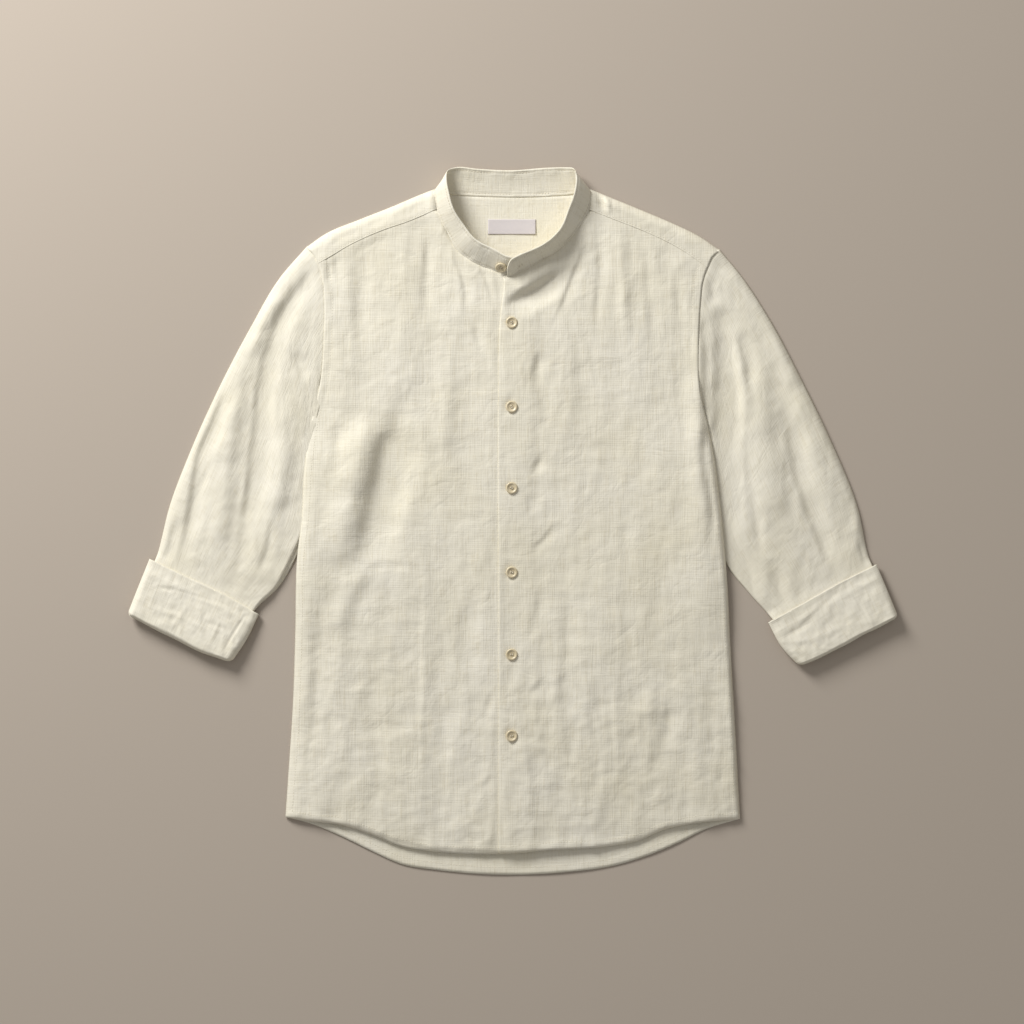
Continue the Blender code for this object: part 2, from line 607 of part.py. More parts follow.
for old in list(bpy.data.objects):
    bpy.data.objects.remove(old, do_unlink=True)
parts = bpy.data.collections.new("band_collar_shirt")
cutters = bpy.data.collections.new("cutters")
bpy.context.scene.collection.children.link(parts)
bpy.context.scene.collection.children.link(cutters)

make_back()
make_yoke()
for wearer_side in ("right", "left"):
    make_front(wearer_side)
    make_sleeve(wearer_side)
    make_cuff(wearer_side)
make_collar_band()
make_label()
make_front_buttons()
make_collar_button()
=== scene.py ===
import math

import bpy
import numpy as np
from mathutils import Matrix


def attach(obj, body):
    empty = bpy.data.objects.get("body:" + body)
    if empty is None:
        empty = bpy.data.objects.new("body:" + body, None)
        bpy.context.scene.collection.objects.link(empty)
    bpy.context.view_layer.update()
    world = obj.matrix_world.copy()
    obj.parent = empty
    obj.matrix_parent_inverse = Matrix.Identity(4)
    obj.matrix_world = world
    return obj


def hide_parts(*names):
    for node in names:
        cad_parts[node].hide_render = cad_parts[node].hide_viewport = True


# Band-collar linen shirt, laid flat on its back with the sleeve ends turned back.
# X runs across (the wearer's left is +X), Y towards the collar, Z up from the ground.
# Plan sizes and heights below are in millimetres, meshes are written in metres.
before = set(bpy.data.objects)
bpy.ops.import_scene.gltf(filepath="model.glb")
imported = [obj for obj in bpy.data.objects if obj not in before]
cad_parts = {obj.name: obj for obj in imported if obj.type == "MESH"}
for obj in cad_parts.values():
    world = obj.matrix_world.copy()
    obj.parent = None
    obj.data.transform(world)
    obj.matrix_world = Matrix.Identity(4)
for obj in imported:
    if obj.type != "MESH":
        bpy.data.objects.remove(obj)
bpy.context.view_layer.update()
mm = 0.001
print("frame loaded")

# outlines in plan, for the wearer's right and left sides
yokeSeam = 258.0
shoulder = {
    "right": [(-227.5, 300.0), (-206, 315), (-168, 331), (-135, 344), (-102, 358), (-92, 362)],
    "left": [(228.0, 296.5), (206, 311.5), (172, 328), (140, 341.5), (107, 355), (91, 361.5)],
}
yokeFrontSeam = {
    "right": [(-91, 339), (-113, 329.5), (-146, 318), (-179, 303), (-201, 290), (-214, 282.5)],
    "left": [(90, 339), (113, 330), (146, 317), (179, 301), (200, 287.5), (213.5, 277.5)],
}
armholeCap = {
    "right": [(-227.5, 300.0), (-220, 293), (-214, 282.5)],
    "left": [(228.0, 296.5), (219.5, 290), (213.5, 277.5)],
}
armholeUpper = {
    "right": [(-214, 282.5), (-210, 268), (-208, yokeSeam)],
    "left": [(213.5, 277.5), (209.5, 267), (207.3, yokeSeam)],
}
armholeLower = {
    "right": [(-208, yokeSeam), (-207, 230), (-208, 199), (-210, 166), (-213, 145), (-216, 130)],
    "left": [(207.3, yokeSeam), (205.5, 237), (203.5, 199), (203.2, 165), (205, 142), (208, 127)],
}
sideSeam = {
    "right": [(-216, 130), (-221, 110), (-229, 55), (-232, 0), (-236.5, -36), (-239, -118),
              (-241.5, -196), (-248, -296), (-250, -326)],
    "left": [(208, 127), (213.5, 106), (220, 72), (226.5, 22), (231, -20), (234.5, -60),
             (239, -140), (242.5, -200), (249.5, -328)],
}
neckLine = {
    "right": [(-89.5, 352), (-85, 336), (-75, 311), (-59, 291), (-45, 281), (-30, 274), (-8, 267.5),
              (0, 265.5), (16, 263.5)],
    "left": [(89.5, 352), (79.5, 328), (63, 307), (44, 290), (27, 280), (10.5, 271), (-9, 262)],
}
backNeck = [(-92, 362), (-80, 358.5), (-55, 355.8), (0, 354.8), (55, 355.8), (80, 358.5), (91, 361.5)]
frontHem = {
    "right": [(-250, -326), (-223, -330), (-189, -334), (-155, -345), (-122, -358), (-88, -363.5),
              (-27, -366.5), (16, -364.5)],
    "left": [(249.5, -328), (202, -332), (168, -339), (135, -352.5), (101, -358), (42, -361.5),
             (-15.6, -366)],
}
backHem = [(-250, -326), (-223, -333), (-189, -347), (-155, -363.5), (-122, -378), (-82, -384.5),
           (0, -389.6), (59, -386.5), (111, -379.5), (146, -369), (180, -355), (213, -339),
           (249.5, -328)]
lapLine = {
    "right": [(16, 263.5), (16, 100), (16, -364.5)],
    "left": [(-9, 262), (-14.5, 212), (-15.6, 150), (-15.6, -100), (-15.6, -366)],
}
sleeveOuter = {
    "right": [(-227.5, 300.0), (-256, 267), (-289, 211), (-322, 148), (-355, 75), (-377, 17),
              (-391, -38), (-403, -72), (-411.5, -94)],
    "left": [(228.0, 296.5), (250, 270), (283, 219.5), (316, 157), (349, 88.6), (378, 17),
             (391, -40), (403.5, -72), (411, -94)],
}
sleeveInner = {
    "right": [(-211, 131), (-216, 108), (-218.5, 90), (-221, 55), (-225, 10), (-230, -20),
              (-237, -37), (-258, -73), (-284, -98.5), (-298, -122), (-309, -141)],
    "left": [(203, 128), (207.5, 107), (209.5, 90), (213, 60), (220, 10), (226.5, -25),
             (234, -46), (261, -81), (286, -109.5), (299, -128), (311, -146)],
}
sleeveEnd = {
    "right": [(-411.5, -94), (-360, -119), (-309, -141)],
    "left": [(411, -94), (360, -121), (311, -146)],
}
rollMouth = {
    "right": [(-399, -42), (-366, -58), (-317, -81), (-279, -103)],
    "left": [(399, -48), (360, -67.5), (316, -92), (280, -112)],
}
rollFold = {
    "right": [(-423.5, -104), (-377, -126), (-340, -145), (-309, -156)],
    "left": [(423, -107), (382, -127), (345, -147), (314, -160)],
}
rollOuter = {
    "right": [(-399, -42), (-411, -72), (-423.5, -104)],
    "left": [(399, -48), (411, -77), (423, -107)],
}
rollInner = {
    "right": [(-279, -103), (-292, -130), (-309, -156)],
    "left": [(280, -112), (294, -138), (314, -160)],
}

# the creases that show, and their like on the hidden sides: half width, rise, lean, path
# lean: how much steeper the side left of the path is (negative: the right side)
creases = {
    "neck": [  # the neck seam, on both sides
    (13, 1.8, 0, [(-93, 366), (-89, 350), (-85, 334), (-74, 311), (-58, 290)]),
    (26, 0.5, 0, [(-92, 352), (-75, 311), (-45, 281), (-8, 266), (27, 278), (63, 307), (92, 352)]),
    ],
    "right": [  # wearer's right front
    (7, -0.7, -0.4, [(-203, 292), (-200, 250)]),
    (6, -0.6, -0.4, [(-195, 296), (-190, 256)]),
    (14, -0.9, -0.2, [(-168, 306), (-168, 240), (-171, 170)]),
    (12, -1.1, -0.3, [(-95, 322), (-94, 275), (-99, 205)]),
    (16, -3.6, -0.4, [(60, 276), (32, 257), (8, 243), (-16, 230)]),
    (8, -0.9, -0.4, [(-63, 296), (-54, 264), (-50, 216)]),
    (7, -0.9, -0.4, [(-37, 282), (-28, 260), (-17, 222)]),
    (10, -0.9, -0.2, [(-40, 220), (-36, 192), (-28, 164)]),
    (32, -6.0, -0.15, [(-119, 124), (-128, 76), (-140, 26), (-153, -18), (-162, -56)]),
    (28, 4.3, 0.1, [(-160, 122), (-168, 68), (-181, 8), (-192, -58)]),
    (20, 1.0, 0, [(-108, 140), (-118, 60), (-132, -20)]),
    (13, -0.9, -0.2, [(-190, 108), (-194, 76)]),
    (20, 1.4, 0.1, [(-160, -40), (-181, -84), (-202, -130)]),
    (18, -1.3, -0.3, [(-209, -80), (-216, -202), (-224, -280)]),
    (6, -0.3, -0.2, [(-166, -52), (-132, -50), (-98, -54)]),
    (17, -1.1, -0.2, [(-48, -80), (-51, -130), (-49, -185)]),
    (6, 0.3, -0.5, [(-101, -15), (-100, -140), (-102, -260), (-100, -362)]),
    (8, -0.7, -0.2, [(-20, -188), (-27, -204), (-31, -220)]),
    (8, -0.7, -0.2, [(-22, -280), (-29, -292), (-36, -298)]),
    (22, -0.9, -0.2, [(-140, -150), (-150, -220), (-146, -290)]),
    (18, 0.8, 0, [(-70, 190), (-74, 110), (-78, 20)]),
    (20, -0.7, -0.2, [(-104, 90), (-100, 20), (-92, -60)]),
    ],
    "left": [  # wearer's left front
    (16, -3.6, -0.4, [(60, 276), (32, 257), (8, 243), (-16, 230), (-50, 212)]),
    (15, 1.4, 0.3, [(52, 290), (24, 268), (0, 252), (-12, 246)]),
    (9, -0.9, -0.4, [(76, 298), (62, 258), (42, 206)]),
    (10, -0.9, -0.3, [(93, 318), (96, 270), (90, 196)]),
    (10, 0.7, 0, [(119, 318), (121, 260), (126, 170)]),
    (11, -0.8, -0.2, [(144, 308), (149, 260), (154, 170)]),
    (11, -0.7, -0.2, [(184, 284), (182, 250), (180, 216)]),
    (11, -1.2, -0.4, [(30, 190), (22, 162), (15, 136)]),
    (9, -0.9, -0.4, [(31, 70), (21, 58), (13, 48)]),
    (7, -0.7, -0.2, [(17, 26), (18, 16), (17, 4)]),
    (8, -0.8, -0.4, [(44, -8), (32, -24), (14, -36)]),
    (11, -1.0, -0.3, [(30, -80), (25, -108), (17, -134)]),
    (7, -0.8, -0.2, [(20, -138), (16, -150), (11, -160)]),
    (8, -0.8, -0.2, [(31, -176), (24, -186), (17, -194)]),
    (8, -0.7, -0.2, [(24, -272), (19, -286), (14, -296)]),
    (6, 0.3, -0.5, [(114, 15), (115, -120), (113, -250), (115, -356)]),
    (16, -1.0, -0.2, [(174, -205), (166, -245), (153, -285)]),
    (18, 1.3, 0.1, [(152, -198), (136, -218), (118, -234)]),
    (5, -0.3, -0.2, [(98, -225), (118, -223), (136, -226)]),
    (26, -0.8, -0.2, [(70, 190), (76, 110), (72, 20)]),
    (24, 0.8, 0, [(150, 150), (160, 60), (168, -60)]),
    (15, 2.5, 0.3, [(200, 226), (202, 160), (203, 110), (206, 40), (212, -60)]),
    (7, -1.8, -0.2, [(86, 366), (94, 349), (99, 332)]),
    (5, 1.2, 0, [(98, 362), (103, 346), (105, 330)]),
    (18, -0.8, -0.2, [(62, -60), (58, -160), (64, -260)]),
    ],
    "sleeveRight": [  # wearer's right sleeve
    (15, -2.6, -0.3, [(-214, 282), (-236, 254), (-250, 230), (-266, 186), (-277, 141), (-280, 97),
      (-288, 31), (-297, -14), (-308, -84)]),
    (12, -1.9, -0.4, [(-316, 142), (-329, 104), (-341, 75), (-352, 19), (-369, -56)]),
    (12, -1.1, -0.2, [(-240, 186), (-232, 170), (-224, 154)]),
    (6, -0.7, -0.2, [(-333, 56), (-346, 32), (-357, 4)]),
    (20, 1.6, 0, [(-249, 130), (-256, 60), (-268, -20), (-284, -84)]),
    (17, 1.5, 0, [(-296, 168), (-310, 90), (-322, 10), (-338, -58)]),
    (14, 1.0, 0, [(-250, 262), (-276, 214), (-296, 160)]),
    (9, -0.8, -0.2, [(-262, 10), (-270, -34), (-284, -70)]),
    (9, -0.9, -0.2, [(-372, -2), (-380, -36), (-392, -58)]),
    ],
    "sleeveLeft": [  # wearer's left sleeve
    (19, -4.6, 0, [(230, 220), (233, 166), (234, 110), (236, 50), (243, -40)]),
    (12, 0.9, 0, [(244, 220), (251, 160), (252, 90)]),
    (15, -1.2, -0.2, [(236, 240), (248, 206), (257, 170), (254, 120)]),
    (9, -0.9, -0.2, [(215, 264), (220, 252), (226, 236)]),
    (15, -2.1, -0.3, [(299, 116), (308, 84), (316, 47), (327, 8), (343, -30), (360, -74)]),
    (26, 1.8, 0, [(262, 160), (275, 90), (286, 10), (300, -50)]),
    (18, 1.2, 0, [(290, 200), (318, 120), (346, 40), (368, -40)]),
    (11, -1.3, -0.2, [(283, -54), (294, -80), (306, -104)]),
    (8, -0.9, -0.2, [(381, -20), (385, -36), (392, -56)]),
    (9, -0.8, -0.2, [(262, 30), (268, -10), (276, -46)]),
    ],
    "cuffLeft": [  # turned-back ends
    (7, -0.9, 0.2, [(312, -122), (334, -100), (362, -76)]),
    (5, -0.6, 0, [(294, -128), (316, -118), (340, -106)]),
    (7, 0.7, 0, [(300, -132), (332, -128), (370, -114)]),
    (2.2, -0.5, 0, [(374, -80), (382, -98), (391, -120)]),
    ],
    "cuffRight": [
    (3.5, -0.6, 0, [(-400, -70), (-354, -80), (-306, -98)]),
    (4.5, 0.6, 0, [(-376, -120), (-364, -104), (-354, -84)]),
    (4, -0.5, 0, [(-352, -130), (-342, -114), (-336, -98)]),
    (4, 0.5, 0, [(-332, -136), (-324, -120), (-318, -106)]),
    (3, -0.9, 0, [(-292, -104), (-306, -126), (-318, -148)]),
    (6, 0.7, 0, [(-402, -92), (-366, -106), (-322, -128)]),
    (5, -0.6, 0, [(-340, -112), (-322, -118), (-304, -124)]),
    ],
    "back": [  # hidden underneath
    (24, 0.5, 0, [(-120, 200), (-110, 40), (-130, -200)]),
    (26, 0.4, 0, [(90, 220), (110, 20), (84, -240)]),
    ],
}
creaseRows = [(piece, *row) for piece, rows in creases.items() for row in rows]


def smoothLine(points, shares):
    # places at these shares of the length of a smooth curve through the points
    points = np.array(points, float)
    if len(points) == 2:
        return points[0] + np.outer(shares, points[1] - points[0])
    steps = np.diff(points, axis=0)
    lengths = np.linalg.norm(steps, axis=1)[:, None]
    slopes = steps / lengths
    middle = (slopes[:-1] * lengths[1:] + slopes[1:] * lengths[:-1]) / (lengths[1:] + lengths[:-1])
    tangents = np.vstack([slopes[:1], middle, slopes[-1:]])
    t = evenly(13)[:-1, None]
    spans = []
    for i, length in enumerate(lengths):
        spans.append(
            (2 * t**3 - 3 * t**2 + 1) * points[i]
            + (t**3 - 2 * t**2 + t) * length * tangents[i]
            + (3 * t**2 - 2 * t**3) * points[i + 1]
            + (t**3 - t**2) * length * tangents[i + 1]
        )
    line = np.vstack(spans + [points[-1:]])
    travelled = distanceAlong(line)
    return placesAt(line, travelled, np.asarray(shares) * travelled[-1])


def evenly(count):
    # shares of a whole
    return np.linspace(0, 1, count)


def placesAt(line, travelled, wanted):
    return np.column_stack([np.interp(wanted, travelled, axis) for axis in line.T])


def spaced(*parts):
    # shares of a whole in parts of (start, end, count)
    return np.unique(np.concatenate([np.linspace(*part) for part in parts]))


def distanceAlong(line):
    return np.concatenate([[0], np.cumsum(np.linalg.norm(np.diff(line, axis=0), axis=1))])


def edgePlaces(edge, shares):
    # places at these shares of one edge of a panel
    if isinstance(edge, np.ndarray):
        return edge
    pieces = edge if np.ndim(edge[0][1]) else [(1, edge)]
    shares = np.asarray(shares, float)
    places = np.zeros((len(shares), 2))
    start = 0.0
    for end, points in pieces:
        here = (shares >= start - 1e-9) & (shares <= end + 1e-9)
        places[here] = smoothLine(points, np.clip((shares[here] - start) / (end - start), 0, 1))
        start = end
    return places


def panelPlan(top, bottom, left, right, across, down):
    # plan of a four-sided panel between its edges, as rows (down) of places (across); an edge is
    # one curve, several as (share where it ends, its points), or finished places
    u = np.asarray(across)[None, :, None]
    v = np.asarray(down)[:, None, None]
    top, bottom = edgePlaces(top, across)[None], edgePlaces(bottom, across)[None]
    left, right = edgePlaces(left, down)[:, None], edgePlaces(right, down)[:, None]
    corners = (1 - v) * ((1 - u) * left[:1] + u * right[:1])
    corners += v * ((1 - u) * left[-1:] + u * right[-1:])
    return (1 - v) * top + v * bottom + (1 - u) * left + u * right - corners


def unit(vectors):
    return vectors / np.linalg.norm(vectors, axis=-1, keepdims=True)


def extended(plan, edge, distance, square=False):
    # the plan with one more row past this edge, to tuck under its neighbour:
    # straight on along the cloth, or square to the edge
    rows = plan if edge in ("top", "bottom") else plan.swapaxes(0, 1)
    if edge in ("bottom", "right"):
        rows = rows[::-1]
    step = rows[0] - rows[1]
    if square:
        run = np.gradient(rows[0], axis=0)
        across = np.column_stack([run[:, 1], -run[:, 0]])
        step = across * np.sign(np.sum(across * step, axis=1))[:, None]
    rows = np.concatenate([(rows[0] + unit(step) * distance)[None], rows])
    if edge in ("bottom", "right"):
        rows = rows[::-1]
    return rows if edge in ("top", "bottom") else rows.swapaxes(0, 1)


def fromEdges(plan):
    # distance of every place from the panel's four edges, along the rows and columns
    acrossSteps = np.linalg.norm(np.diff(plan, axis=1), axis=2)
    downSteps = np.linalg.norm(np.diff(plan, axis=0), axis=2)
    left = np.concatenate([np.zeros((len(plan), 1)), np.cumsum(acrossSteps, axis=1)], axis=1)
    top = np.concatenate([np.zeros((1, plan.shape[1])), np.cumsum(downSteps, axis=0)], axis=0)
    return {"left": left, "right": left[:, -1:] - left, "top": top, "bottom": top[-1:] - top}


def smoothStep(x):
    x = np.clip(x, 0, 1)
    return x * x * (3 - 2 * x)


def ramp(x, start, width):
    # from 0 at the start to 1 after the width, towards lower x where the width is negative
    return smoothStep((x - start) / width)


def hump(x, centre, width):
    return np.exp(-((x - centre) / width) ** 2)


def roundEdge(distance, radius):
    # 0 at an edge, 1 from the radius inwards, steepest at the edge like a folded cloth
    inwards = np.clip(distance / radius, 0, 1)
    return 1 - (1 - inwards) ** 2.3


def softNoise(x, y, pitchX, pitchY, seed):
    # smooth random bumps of the given pitch, from about -1 to 1
    lattice = np.random.default_rng(seed).uniform(-1, 1, (64, 64))
    column, row = x / pitchX, y / pitchY
    left, low = np.floor(column).astype(int), np.floor(row).astype(int)
    weights = []
    for t in (column - left, row - low):
        weights.append(((1 - t) ** 3 / 6, (3 * t**3 - 6 * t**2 + 4) / 6,
                        (3 * t + 3 * t**2 - 3 * t**3 + 1) / 6, t**3 / 6))
    total = np.zeros_like(x)
    for i in range(4):
        for j in range(4):
            total += weights[0][i] * weights[1][j] * lattice[(left + i) % 64, (low + j) % 64]
    return total * 1.8


crinkleSettings = [
    # direction in degrees, length along it, width across it, height
    (90, 90, 18, 0.32),
    (74, 52, 11, 0.20),
    (106, 52, 11, 0.20),
    (4, 44, 9, 0.15),
    (150, 26, 7, 0.11),
    (35, 24, 6, 0.10),
    (92, 40, 6, 0.13),
]


def crinkles(x, y, seed):
    # small sharp creases that linen keeps from folding and washing
    total = np.zeros_like(x)
    for number, (direction, length, width, height) in enumerate(crinkleSettings):
        turn = math.radians(direction)
        along = x * math.cos(turn) + y * math.sin(turn)
        across = y * math.cos(turn) - x * math.sin(turn)
        noise = softNoise(along, across, length, width, seed + number)
        total += height * (0.5 - 1.6 * np.sqrt(noise**2 + 0.004))
    return total


def creaseHeight(where, x, y):
    # sum of this piece's creases at the places x, y
    wanderX = x + 2.2 * softNoise(x, y, 26, 26, 5)
    wanderY = y + 2.2 * softNoise(x, y, 26, 26, 6)
    total = np.zeros(x.size)
    flatX, flatY = wanderX.ravel(), wanderY.ravel()
    for number, (piece, halfWidth, rise, lean, path) in enumerate(creaseRows):
        if piece != where:
            continue
        line = smoothLine(path, evenly(21))
        low, high = line.min(0) - halfWidth * 1.5, line.max(0) + halfWidth * 1.5
        near = np.flatnonzero((flatX > low[0]) & (flatX < high[0]) & (flatY > low[1]) & (flatY < high[1]))
        px, py = flatX[near], flatY[near]
        nearest = np.full(px.shape, np.inf)
        along = np.zeros_like(px)
        for i, (start, end) in enumerate(zip(line[:-1], line[1:])):
            step = end - start
            offX, offY = px - start[0], py - start[1]
            t = np.clip((offX * step[0] + offY * step[1]) / (step @ step), 0, 1)
            away = np.hypot(offX - t * step[0], offY - t * step[1])
            side = np.sign(step[0] * offY - step[1] * offX)
            closer = away < np.abs(nearest)
            nearest[closer] = (away * np.where(side == 0, 1, side))[closer]
            along[closer] = (i + t[closer]) / (len(line) - 1)
        length = distanceAlong(line)[-1]
        uneven = 1 + 0.22 * np.sin(along * length / 17 + number)
        uneven += 0.12 * np.sin(along * length / 7 + 2 * number)
        width = halfWidth * (1 - lean * np.sign(nearest)) * (0.85 + 0.15 * uneven)
        off = np.clip(np.abs(nearest) / width, 0, 1)
        bump = 0.6 * (0.5 + 0.5 * np.cos(np.pi * off))
        bump += 0.4 * (1 - np.sqrt(off**2 * 0.98 + 0.02)) ** 2 / 0.74
        ends = smoothStep(np.minimum(along + 0.12, 1 - along) / 0.42)
        total[near] += rise * bump * ends * uneven
    return total.reshape(x.shape)


def softLimit(height, middle, below, above):
    # eases heights off so that they stay this much below and above the middle
    span = np.where(height > middle, above, below)
    return middle + span * np.tanh((height - middle) / span)


def lineAt(lines, x, known, given, steps):
    # for places on either side: the other measure of that side's line where its x or y
    # (given 0 or 1) is known
    found = np.zeros_like(x)
    for side, sign in (("right", -1), ("left", 1)):
        line = smoothLine(lines[side], evenly(steps))
        line = line[np.argsort(line[:, given])]
        at = np.interp(known, line[:, given], line[:, 1 - given])
        found = np.where(x * sign >= 0, at, found)
    return found


def lineReach(lines, x, y):
    # how far out a side's line is at this y
    return np.abs(lineAt(lines, x, y, 1, 90))


body = {
    "wall": 0.6,  # washed linen of about 170 g/m2
    "gridPitch": 2.4,
    "backHeight": 0.45,
    "seamHeight": 1.7,  # front's centre where it meets the back at the side
    "restHeight": 6.9,
    "fallMost": 5.6,  # folds fall and rise this much at most
    "riseMost": 9.0,
    "edgeRadius": {"right": 17.0, "left": 6.0},
    "lapRise": 1.0,  # more than the wall, so that the fronts stay clear of each other
    "tuckLift": 3.5,  # the sleeves lie under the body's sides
    "hemDepth": 8.0,
    "fellDepth": 9.5,  # seam allowance turned under at the armhole
    "sideFell": 8.5,
    "underYoke": 5.5,  # how far the fronts run on under the yoke's fold
}
buttonPlaces = (217.3, 124.9, 35.8, -56.7, -146.9, -236.0)
buttonLine = -1.6


def tuckLift(x, y):
    lengthwise = ramp(y, 122, -58) * ramp(y, -150, 88)
    tucked = lineReach(sleeveInner, x, np.clip(y, -46, 127))
    return body["tuckLift"] * lengthwise * smoothStep((np.abs(x) - tucked + 74) / 58)


def frontHeight(side, x, y):
    # centre height of a front, which comes down onto the back at its side and hem
    folds = 1.9 * creaseHeight(side, x, y)
    lower = 1 + 0.7 * ramp(y, -100, -120)
    folds += 1.6 * crinkles(x, y, 20 if side == "left" else 40) * lower
    folds = folds + 1.7 * softNoise(x, y, 70, 120, 77) + 0.6 * softNoise(x, y, 17, 90, 78)
    # the yoke's forward seams hold the cloth quiet
    offSeam = np.where(np.abs(x) > 82, np.abs(y - lineAt(yokeFrontSeam, x, x, 0, 60)), 99)
    folds = folds * (0.3 + 0.7 * ramp(offSeam, 2, 12))
    height = body["restHeight"] + creaseHeight("neck", x, y)
    height += folds * ramp(np.abs(x + 15.6), 0.5, 8)
    height = softLimit(height, body["restHeight"], body["fallMost"], body["riseMost"])
    radius = body["edgeRadius"][side]
    fromSide = lineReach(sideSeam, x, np.minimum(y, 126)) - np.abs(x) + 30 * ramp(y, 96, 34)
    hem = np.interp(np.abs(x), [0, 90, 135, 170, 250], [-366, -362, -351, -338, -327])
    fall = roundEdge(fromSide, radius) * (0.45 + 0.55 * roundEdge(y - hem, 6))
    return body["seamHeight"] + (height - body["seamHeight"]) * fall + tuckLift(x, y)


def buttonDimples(x, y):
    # the thread pulls both fronts in under each button
    dimples = np.zeros_like(x)
    for place in buttonPlaces:
        away = np.hypot(x - buttonLine + 1.5, (y - place) * 0.85)
        dimples += 1.5 * (0.5 + 0.5 * np.cos(np.pi * np.clip(away / 11, 0, 1)))
    return dimples


def leftFrontHeight(x, y):
    height = frontHeight("left", x, y)
    under = frontHeight("right", x, y)
    lap = ramp(x, 30, -14)
    height = height + (np.maximum(height, under) - height) * lap + body["lapRise"] * lap
    return height - buttonDimples(x, y)


def linear(hexColour):
    # sRGB hex to linear, with alpha
    parts = [int(hexColour[i : i + 2], 16) / 255 for i in (1, 3, 5)]
    return (*[c / 12.92 if c <= 0.04045 else ((c + 0.055) / 1.055) ** 2.4 for c in parts], 1)


def addNode(tree, kind, settings=None, links=None):
    # a node with its settings, and what feeds its inputs: a node's first output, or a given one
    node = tree.nodes.new("ShaderNode" + kind)
    for name, value in (settings or {}).items():
        if isinstance(name, int) or name in node.inputs:
            node.inputs[name].default_value = value
        else:
            setattr(node, name, value)
    for name, source in (links or {}).items():
        tree.links.new(getattr(source, "outputs", [source])[0], node.inputs[name])
    return node


def startMaterial(name):
    material = bpy.data.materials.new(name)
    material.use_nodes = True
    material.node_tree.nodes.clear()
    return material, material.node_tree


def finishMaterial(material, settings, colour=None, bump=None):
    # the surface, with what feeds its colour and its bumps
    links = {"Base Color": colour, "Normal": bump}
    links = {name: source for name, source in links.items() if source is not None}
    shader = addNode(material.node_tree, "BsdfPrincipled", settings, links)
    addNode(material.node_tree, "OutputMaterial", {}, {"Surface": shader})
    return material


def stripes(tree, vector, direction, pitch, settings=None):
    # even waves at this pitch, from 0 to 1
    settings = {"wave_type": "BANDS", "bands_direction": direction, "wave_profile": "SIN",
                "Scale": 2 * math.pi / 20 / pitch, **(settings or {})}
    return addNode(tree, "TexWave", settings, {"Vector": vector}).outputs["Fac"]


def blend(tree, share, first, second):
    # the colour between two hex colours, or between a node's colour and a hex colour
    settings, links = {"data_type": "RGBA", 7: linear(second)}, {0: share}
    if isinstance(first, str):
        settings[6] = linear(first)
    else:
        links[6] = first
    return addNode(tree, "Mix", settings, links).outputs[2]


linenLook = {
    "colour": "#ebe6d8",
    "warmColour": "#e3dcc5",
    "threadColour": "#d2c8ae",
    # real thread spacing is about 0.65 mm: drawn three times as coarse, or it wouldn't show
    "threadPitch": 2.0,
    "slubLength": 30.0,
    "slubWidth": 1.9,
    "relief": 0.28,
    "rumpleSize": 30.0,
    "rumple": 3.0,  # height of the fine washed-in rumples
    "roughness": 0.88,
}


# Washed plain-weave linen, half bleached: matt, with thick and thin threads that catch
# the light as short streaks both ways, and a faint nap at grazing angles.
def washedLinen():
    material, tree = startMaterial("washedLinen")
    look = linenLook
    grain = addNode(tree, "UVMap", {"uv_map": "grain"}).outputs["UV"]
    pitch, width, length = (look[key] * mm for key in ("threadPitch", "slubWidth", "slubLength"))
    uneven = {"Distortion": 2.5, "Detail": 2.0, "Detail Scale": 0.35, "Detail Roughness": 0.6}
    threads = [stripes(tree, grain, direction, pitch, uneven) for direction in ("X", "Y")]
    slubs = []
    for scale in ((1 / width, 1 / length, 1), (1 / length, 1 / width, 1)):
        spread = addNode(tree, "Mapping", {"Scale": scale}, {"Vector": grain})
        slubs.append(addNode(tree, "TexNoise", {"Scale": 1.0, "Detail": 3.0, "Roughness": 0.6},
                             {"Vector": spread}))
    weave = addNode(tree, "Math", {"operation": "ADD"}, {0: threads[0], 1: threads[1]})
    streaks = addNode(tree, "Math", {"operation": "MULTIPLY_ADD", 1: 1.6}, {0: slubs[0], 2: slubs[1]})
    height = addNode(tree, "Math", {"operation": "MULTIPLY_ADD", 1: 0.16}, {0: weave, 2: streaks})
    rumples = addNode(tree, "TexNoise", {
        "Scale": 1 / (look["rumpleSize"] * mm), "Detail": 3.0, "Roughness": 0.5, "Distortion": 0.5,
    }, {"Vector": grain})
    offMiddle = addNode(tree, "Math", {"operation": "SUBTRACT", 1: 0.5}, {0: rumples})
    ridges = addNode(tree, "Math", {"operation": "ABSOLUTE"}, {0: offMiddle})
    rumpled = addNode(tree, "Bump", {"Strength": 0.5, "Distance": look["rumple"] * mm}, {"Height": ridges})
    bump = addNode(tree, "Bump", {"Strength": 0.8, "Distance": look["relief"] * mm},
                   {"Height": height, "Normal": rumpled})
    blotches = addNode(tree, "TexNoise", {"Scale": 9.0, "Detail": 4.0, "Roughness": 0.6}, {"Vector": grain})
    blotchShare = addNode(tree, "MapRange", {
        "From Min": 0.35, "From Max": 0.75, "To Min": 0.0, "To Max": 0.7,
    }, {"Value": blotches})
    ground = blend(tree, blotchShare, look["colour"], look["warmColour"])
    flecks = addNode(tree, "MapRange", {
        "From Min": 1.3, "From Max": 1.8, "To Min": 0.0, "To Max": 0.5,
    }, {"Value": streaks})
    colour = blend(tree, flecks, ground, look["threadColour"])
    return finishMaterial(material, {
        "Roughness": look["roughness"], "IOR": 1.5, "Specular IOR Level": 0.25,
        "Sheen Weight": 0.12, "Sheen Roughness": 0.5, "Sheen Tint": linear("#f6efe0"),
    }, colour, bump)


